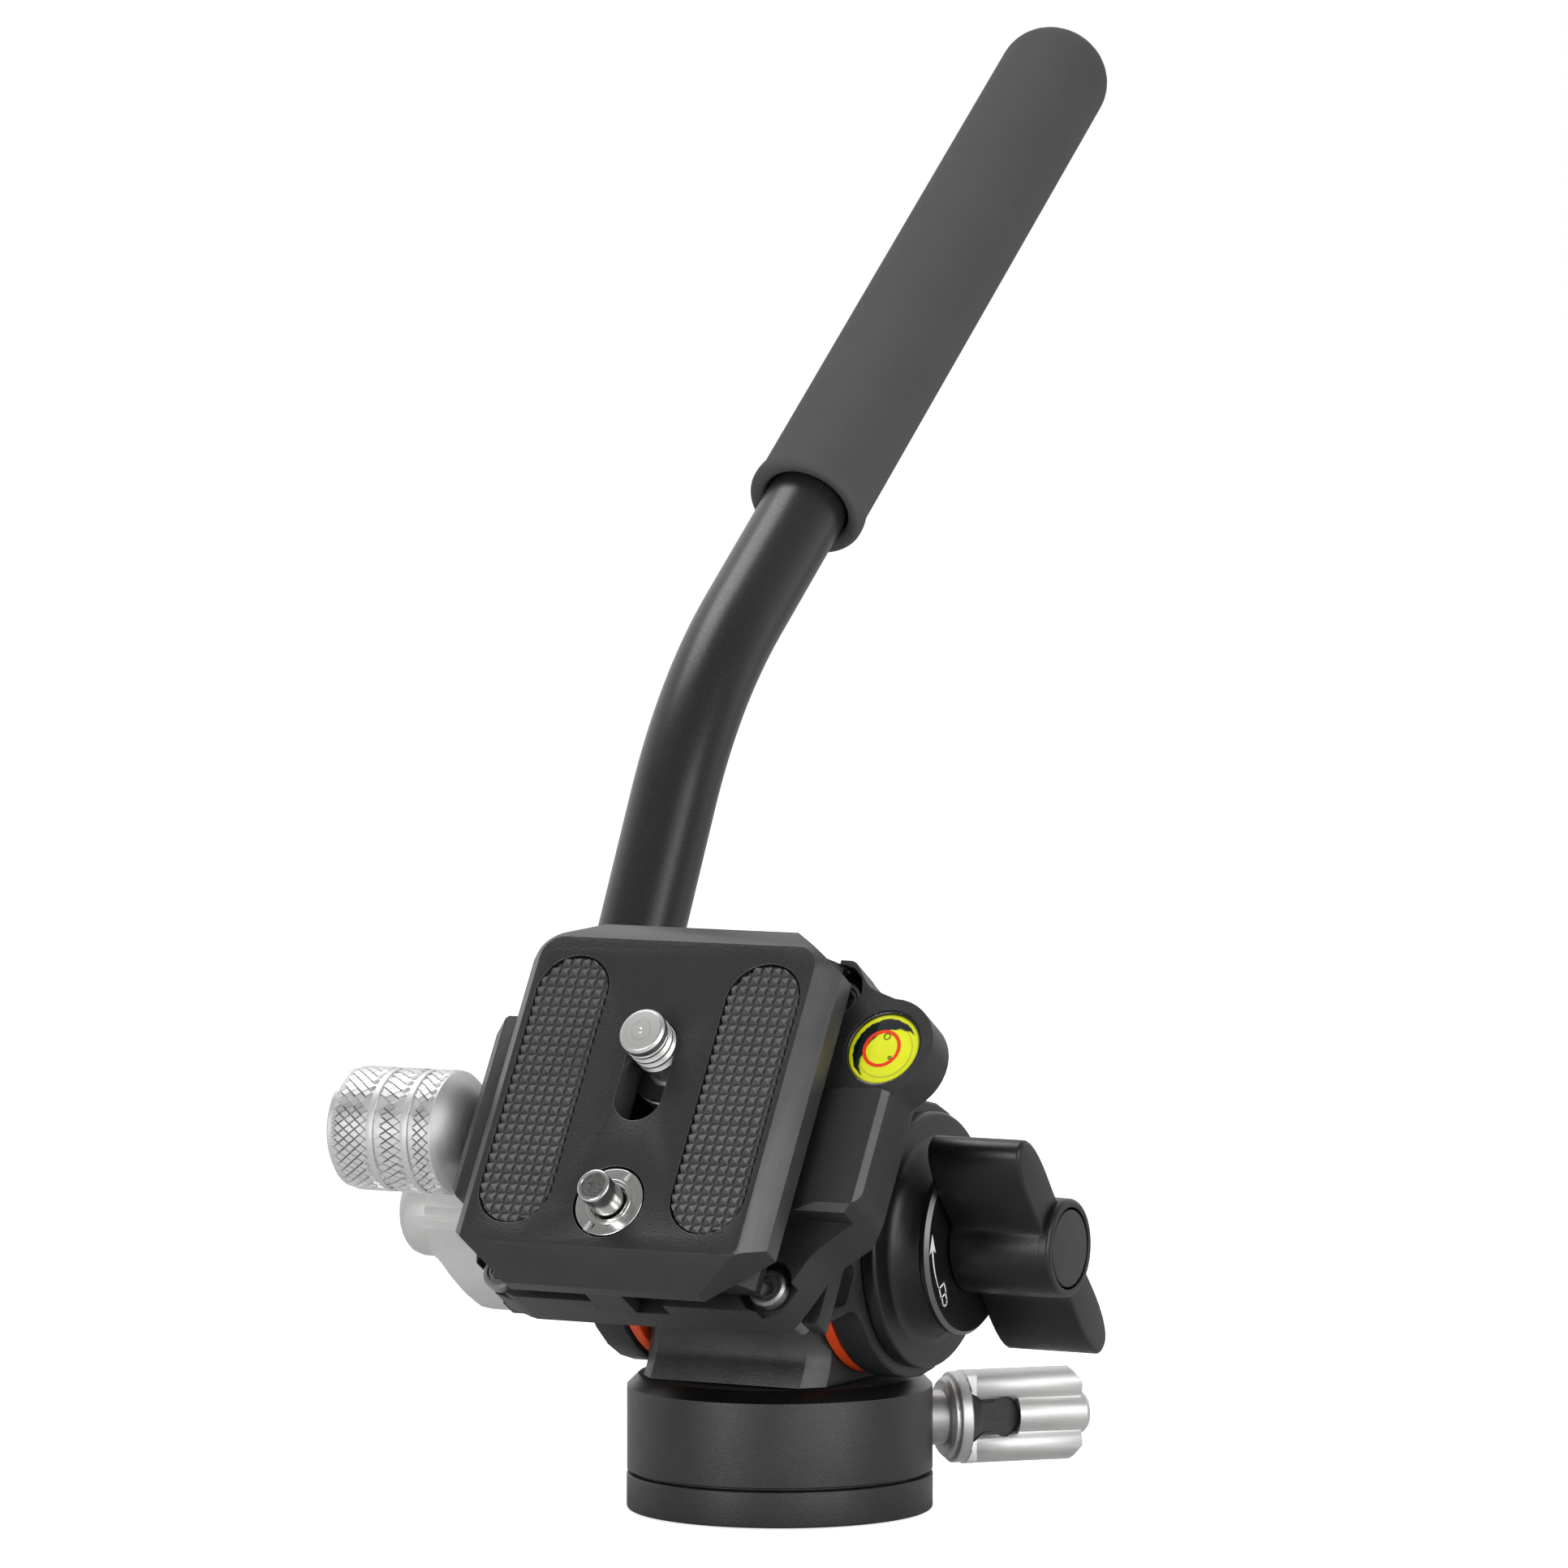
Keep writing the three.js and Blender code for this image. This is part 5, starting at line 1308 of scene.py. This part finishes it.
    def pin(self) -> None:
        """Makes the anti-twist pin and the slotted disc round it."""
        top, bore, edge, collar = PLATE_TOP - 0.1, 2.55, 4.7, 3.1
        seat = turned([
            [bore, top - 1.1], [edge, top - 1.1], [edge, top, 0.18], [collar, top], [collar, top + 0.2, 0.1],
            [bore, top + 0.2, 0.1]], Axis.Z, PIN_AXIS, 72)
        place = Matrix.Translation(PIN_AXIS) @ Matrix.Rotation(self.seat_lean, 4, "Z")
        for offset, half, depth in ((0.0, 0.62, 0.45), (-0.36, 0.09, 0.6), (0.36, 0.09, 0.6)):
            for low, high in ((-5.7, -3.35), (3.35, 5.7)):
                slot = block((low, offset - half, top - depth), (high, offset + half, top + 1))
                slot.transform(place)
                seat = combined(seat, slot, "DIFFERENCE")
        add("video_pin_seat_disc", seat, "plate", PIN_STEEL, ["video_pin_seat"], 30 * DEGREE)
        stem, flange, face, tip = 2.25, 2.9, 1.7, 48.4
        pin = turned([
            [0, 40.2], [stem, 40.2], [stem, 41.2], [flange, 41.2], [flange, 42.1], [stem, 42.1],
            [stem, tip, 0.3], [1.75, tip], [face, tip - 0.08], [0, tip - 0.08]], Axis.Z, PIN_AXIS, 64)
        finishes = [PIN_STEEL, WORN_STEEL]
        piece = add("video_pin_steel", pin, "anti_twist_pin", finishes, ["video_pin"], 30 * DEGREE)
        axis = Vector(PIN_AXIS)
        paint(piece, Place.HEAD, lambda at, normal: at.z > tip - 0.1 and (at - axis).xy.length < face)


@dataclass
class Level:
    """The round bubble level."""

    radius: float = 5.0
    bottom: float = 31.3
    fluid: float = 35.1
    top: float = 35.35
    mark: Pair = (-0.3, 0.04)
    mark_radii: Pair = (2.18, 2.62)
    bubbles: tuple[Triple, ...] = ((0.05, 1.75, 0.42), (1.14, -1.19, 0.2))
    bubble_line: float = 0.07
    glue_radii: Pair = (4.92, 5.32)

    def build(self) -> None:
        """Makes the spirit, the printed ring, the bubbles' outlines and the glue round it."""
        spirit = turned([
            [0, self.bottom], [self.radius, self.bottom], [self.radius, self.fluid, 0.25],
            [0, self.fluid + 0.1]], Axis.Z, LEVEL_AXIS)
        add("level_vial_spirit", spirit, "tilt_body", SPIRIT, ["level_vial"])
        self.ring("level_ring_print", self.mark, self.mark_radii, (-0.1, 0.12), RING_RED)
        for across, up, radius in self.bubbles:
            radii = (radius - self.bubble_line, radius + self.bubble_line)
            name = f"level_bubble_{round(radius * 100)}"
            self.ring(name, (across, up), radii, (0.02, 0.12), BUBBLE_EDGE, 40)
        inner, outer = self.glue_radii
        glue = turned(
            [[inner, 34.6], [outer, 34.6], [outer, self.top + 0.12, 0.12], [inner, self.top + 0.02, 0.12]],
            Axis.Z, LEVEL_AXIS)
        add("level_glue_bead", glue, "tilt_body", GLUE)

    def ring(
        self, name: str, at: Corner, radii: Corner, heights: Corner, finish: Finish, steps: int = 96,
    ) -> None:
        """Makes a thin ring in the vial's face.

        Args:
            name: its name.
            at: its middle, from the vial's.
            radii: its inner and outer radius.
            heights: its underside and top, from the spirit's edge.
            finish: its finish.
            steps: steps of the turn.
        """
        low, high = (self.fluid + height for height in heights)
        section = [[radii[0], low], [radii[1], low], [radii[1], high], [radii[0], high]]
        centre = (LEVEL_AXIS[0] + at[0], LEVEL_AXIS[1] + at[1], 0.0)
        add(name, turned(section, Axis.Z, centre, steps), "tilt_body", finish)


@dataclass
class Handle:
    """The hub, the bent tube, the foam grip and the left lever knob."""

    tube_radius: float = 5.8
    tube_start: float = 12.0
    bend_length: float = 16.0
    bend_pull: float = 2 / 3
    straight_pull: float = 5.0
    tube_tail: float = 116.0
    tube_weld: float = 0.002
    grip_start: float = 38.5
    grip_length: float = 104.0
    grip_radius: float = 8.0
    grip_overlap: float = 12.0

    def build(self) -> None:
        """Makes the handle."""
        hub = cad_mesh("handle_hub", 0.2)
        add("handle_hub_block", hub, "handle", BLASTED_BLACK, ["handle_hub"], place=Place.ROW)
        self.tube()
        end = self.grip_start + self.grip_length
        tube_end = end - self.grip_overlap
        bore = self.tube_radius + 0.3
        lip = self.grip_radius + 0.35
        start = self.grip_start
        grip = turned([
            [0, tube_end], [bore, tube_end], [bore, start + 0.5, 0.5], [6.9, start, 0.55], [lip, start, 1.1],
            [lip, start + 2.4, 0.9], [self.grip_radius, start + 3.2, 1.2], [self.grip_radius, start + 50.0],
            [self.grip_radius, end, 6.8], [0, end]], steps=128, segments=12)
        piece = add("handle_grip_foam", grip, "handle", GRIP_FOAM, ["handle_grip"], place=Place.GRIP)
        knob = cad_mesh("handle_lock_knob", 0.2)
        add("handle_lock_knob_body", knob, "handle_lock", SATIN_SILVER, ["handle_lock_knob"], place=Place.ROW)

    def tube(self) -> None:
        """Sweeps the round tube along its bent line."""
        line = bpy.data.curves.new("tube_line", "CURVE")
        line.dimensions = "3D"
        line.bevel_depth = self.tube_radius
        line.bevel_resolution = 22
        line.resolution_u = 24
        line.use_fill_caps = True
        spline = line.splines.new("BEZIER")
        spline.bezier_points.add(3)
        corner = Vector((-HANDLE_PLANE, 0, TUBE_STRAIGHT))
        ahead = Vector((0, math.sin(TUBE_BEND), math.cos(TUBE_BEND)))
        start = Vector((-HANDLE_PLANE, 0, self.tube_start))
        low = corner - Vector((0, 0, self.bend_length))
        high = corner + ahead * self.bend_length
        end = corner + ahead * self.tube_tail
        knots = (
            (start, start, start),
            (low - Vector((0, 0, self.straight_pull)), low, low.lerp(corner, self.bend_pull)),
            (high.lerp(corner, self.bend_pull), high, high + ahead * self.straight_pull),
            (end, end, end))
        for knot, (left, place, right) in zip(spline.bezier_points, knots):
            knot.co = place
            knot.handle_left_type = knot.handle_right_type = "FREE"
            knot.handle_right = right
            knot.handle_left = left
        carrier = linked("tube_line", line)
        swept = carrier.evaluated_get(bpy.context.evaluated_depsgraph_get()).to_mesh()
        bm = bmesh.new()
        bm.from_mesh(swept)
        weld(bm, self.tube_weld)
        bpy.data.objects.remove(carrier)
        bpy.data.curves.remove(line)
        add("handle_tube_bent", bm, "handle", PAINTED_TUBE, ["handle_tube"], place=Place.HANDLE)


@dataclass
class PanLock:
    """The two-lobed silver knob of the pan lock."""

    recess: tuple[Pair, ...] = (
        (24.8, 3.9), (25.3, 3.4), (26.5, 2.8), (27.1, 2.3), (27.7, 1.95), (28.7, 1.9), (29.3, 2.3),
        (29.9, 2.6), (30.6, 2.65), (31.3, 2.35), (31.9, 1.7), (32.3, 0.8))
    recess_reach: float = 2.9
    recess_half: float = 3.2
    wall_slope: float = 0.2
    flange: Triple = (23.2, 24.9, 6.0)
    flat: float = 2.4
    flat_end: float = 26.5
    floor: float = 1.25
    outside: float = 8.0

    def build(self) -> None:
        """Makes the knob, with a ball-milled recess on each side between its lobes, whose faces are painted
        dark as shade.
        """
        knob = cad_mesh("pan_lock_knob")
        knob.transform(Place.PAN_LOCK.matrix.inverted())
        low, high, radius = self.flange
        flange = turned([[0, low], [radius, low, 0.3], [radius, high, 0.3], [0, high]], Axis.X)
        knob = combined(knob, flange, "UNION")
        for first, second in ((self.flat, self.outside), (-self.outside, -self.flat)):
            flat = block((high, first, -self.outside), (self.flat_end, second, self.outside))
            knob = combined(knob, flat, "DIFFERENCE")
        outline = [[along, half] for along, half in self.recess]
        outline += [[along, -half] for along, half in self.recess[::-1]]
        for low, high in ((self.floor, self.outside), (-self.outside, -self.floor)):
            cut = prism(outline, low, high)
            cut.transform(QUARTER_X)
            outward(cut)
            knob = combined(knob, cut, "DIFFERENCE")
        break_edges(knob, 0.13)
        parts = [*knob.verts, *knob.edges, *knob.faces]
        bmesh.ops.bisect_plane(knob, geom=parts, plane_co=(self.recess[-1][0], 0, 0), plane_no=(1, 0, 0))
        finishes = [SATIN_SILVER, RECESS_SHADE_SILVER]
        piece = add("pan_lock_knob_body", knob, "pan_lock", finishes, ["pan_lock_knob"], place=Place.PAN_LOCK)
        # Paints the recess's faces dark: painted shade and dark reflection
        paint(piece, Place.PAN_LOCK, self.choose)

    def choose(self, at: Vector, normal: Vector) -> bool:
        """Picks the recess's faces, which get the darkened finish as painted shade.

        Args:
            at: the face's middle.
            normal: its direction.
        Returns: whether the face is in the recess.
        """
        inside = self.recess[0][0] + 0.02 < at.x < self.recess[-1][0] + 0.1
        deep = at.yz.length < self.recess_reach or abs(normal.y) < self.wall_slope
        return inside and deep and abs(at.z) < self.recess_half


@dataclass
class Innards:
    """The pieces inside, which keep their CAD meshes, but for the spring, which is a copy."""

    steel: tuple[str, ...] = (
        "tripod_thread_insert", "pan_spindle", "saddle_screw_1", "saddle_screw_2", "tilt_axle",
        "tilt_lock_screw", "handle_lock_screw", "jaw_guide_pin_1", "jaw_guide_pin_2", "clamp_screw")
    brass: tuple[str, ...] = ("pan_retaining_nut", "tilt_bush_left", "tilt_bush_right")
    black: tuple[str, ...] = (
        "pan_thrust_washer", "tilt_damper_disc_left", "tilt_damper_disc_right", "camera_screw_washer")
    white: tuple[str, ...] = ("pan_lock_shoe",)
    spring_foot: Triple = (0.0, -17.0, 35.3)
    spring_pressed: float = 0.24

    def build(self) -> None:
        """Gives each CAD node its finish and makes the spring."""
        for names, finish in (
            (self.steel, PLATED_STEEL), (self.brass, TURNED_BRASS), (self.black, BLACK_ACETAL),
            (self.white, WHITE_ACETAL),
        ):
            for name in names:
                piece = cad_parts[name]
                if piece.material_slots:
                    piece.material_slots[0].material = material(finish)
                else:
                    piece.data.materials.append(material(finish))
                LOG.info("%s keeps its CAD mesh, finish %s", name, finish.name)
        self.spring()

    def spring(self) -> None:
        """Makes the coil spring under the anti-twist pin, as a copy with its own mesh."""
        piece = add(
            "video_pin_spring_coil", cad_mesh("video_pin_spring", dissolve=False), "plate", PLATED_STEEL,
            ["video_pin_spring"], place=Place.ROW)
        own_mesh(piece)


@dataclass
class Studio:
    """The camera, the floor, the background and the lamps.

    The room's reflection brightens from room to 1 between the two mirror_range cosines to away.
    """

    lens_px: float = 11228.0
    frame_px: float = 1932.0
    sensor: float = 36.0
    clip_end: float = 20.0
    azimuth: float = 27.90 * DEGREE
    pitch: float = 3.87 * DEGREE
    eye: Triple = (553.4, -1044.0, 174.5)
    aim: Triple = (0.0, 0.0, 90.0)
    floor_half: float = 6000.0
    floor_drop: float = 0.2
    floor_colour: str = "f0f0f0"
    floor_glow: float = 0.78
    away: Triple = (-0.47, 0.88, -0.1)
    mirror_range: Pair = (-0.3, 0.5)
    even: float = 0.35
    room: float = 0.3
    lamps: tuple[tuple[str, Corner, Corner, float], ...] = (
        ("key_softbox", (-200, -930, 170), (380, 560), 3.4),
        ("side_softbox", (830, -330, 300), (560, 640), 4.2),
        ("top_softbox", (-400, 60, 900), (480, 480), 3.0),
        ("front_softbox", (660, -860, 90), (260, 380), 1.3))

    def build(self) -> None:
        """Makes the camera, the floor, the world and the lamps."""
        bpy.context.scene.view_settings.view_transform = "Standard"
        self.camera()
        self.floor()
        self.world()
        for name, at, size, power in self.lamps:
            self.lamp(name, at, size, power)

    def camera(self) -> None:
        """Makes the camera that fits the photograph."""
        data = bpy.data.cameras.new("camera")
        data.sensor_width = self.sensor
        data.lens = self.lens_px / self.frame_px * self.sensor
        data.clip_end = self.clip_end
        made = linked("camera", data)
        made.location = Vector(self.eye) * MM
        made.rotation_euler = (math.pi / 2 - self.pitch, 0, self.azimuth)
        bpy.context.scene.camera = made

    def floor(self) -> None:
        """Makes the pale floor."""
        bm = bmesh.new()
        bmesh.ops.create_grid(bm, x_segments=1, y_segments=1, size=self.floor_half)
        lowered = Matrix.Translation((0, 0, -self.floor_drop * MM))
        piece = mesh_object("floor", bm, lowered @ Matrix.Scale(MM, 4))
        made = bpy.data.materials.new("floor_white_paper")
        tree = blank_tree(made)
        paper = node(tree, "BsdfDiffuse", Color=srgb(self.floor_colour))
        glow = node(tree, "Emission", Color=(1, 1, 1, 1), Strength=self.floor_glow)
        lit = node(tree, "AddShader", _0=paper.outputs[0], _1=glow.outputs[0])
        rays = node(tree, "LightPath").outputs
        shown = calc(tree, "MAXIMUM", rays["Is Camera Ray"], rays["Is Transmission Ray"])
        surface = node(tree, "MixShader", _0=shown, _1=paper.outputs[0], _2=lit.outputs[0])
        node(tree, "OutputMaterial", Surface=surface.outputs[0])
        piece.data.materials.append(made)

    def world(self) -> None:
        """Makes the white background and the even light round the object."""
        world = bpy.data.worlds.new("studio")
        bpy.context.scene.world = world
        tree = blank_tree(world)
        rays = node(tree, "LightPath").outputs
        around = node(tree, "TexCoord").outputs["Generated"]
        behind = node(tree, "VectorMath", {"operation": "DOT_PRODUCT"}, _0=around, _1=self.away)
        low, high = self.mirror_range
        mirrored = node(
            tree, "MapRange", {"interpolation_type": "SMOOTHSTEP"}, Value=behind.outputs["Value"],
            _1=low, _2=high, _3=self.room, _4=1.0).outputs[0]
        light = node(tree, "Mix", {"data_type": "FLOAT"}, _0=rays["Is Glossy Ray"], _2=self.even, _3=mirrored)
        plain = calc(tree, "MAXIMUM", rays["Is Camera Ray"], rays["Is Transmission Ray"])
        strength = calc(tree, "MAXIMUM", light.outputs[0], plain)
        glow = node(tree, "Background", Color=(1, 1, 1, 1), Strength=strength)
        node(tree, "OutputWorld", Surface=glow.outputs[0])

    def lamp(self, name: str, at: Corner, size: Corner, power: float) -> None:
        """Makes a softbox aimed at the head.

        Args:
            name: its name.
            at: its place in millimetres.
            size: its width and height in millimetres.
            power: its power in watts.
        """
        data = bpy.data.lights.new(name, "AREA")
        data.shape = "RECTANGLE"
        data.size = size[0] * MM
        data.size_y = size[1] * MM
        data.energy = power
        made = linked(name, data)
        made.location = Vector(at) * MM
        made.visible_camera = False
        toward = Vector(self.aim) * MM - made.location
        made.rotation_euler = toward.to_track_quat("-Z", "Y").to_euler()


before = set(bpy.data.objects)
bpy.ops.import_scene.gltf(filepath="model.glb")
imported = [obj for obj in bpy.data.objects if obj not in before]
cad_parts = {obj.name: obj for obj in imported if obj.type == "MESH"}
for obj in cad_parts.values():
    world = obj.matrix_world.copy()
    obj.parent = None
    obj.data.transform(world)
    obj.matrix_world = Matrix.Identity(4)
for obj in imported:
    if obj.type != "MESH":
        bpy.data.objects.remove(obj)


def main() -> None:
    """Builds the scene piece by piece."""
    logging.basicConfig(level=logging.INFO, format="%(name)s: %(message)s")
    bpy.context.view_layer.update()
    Studio().build()
    for part in (
        Base(), Saddle(), TiltLock(), Clamp(), CameraPlate(), Level(), Handle(), PanLock(), Innards(),
    ):
        part.build()


if __name__ == "__main__":
    main()
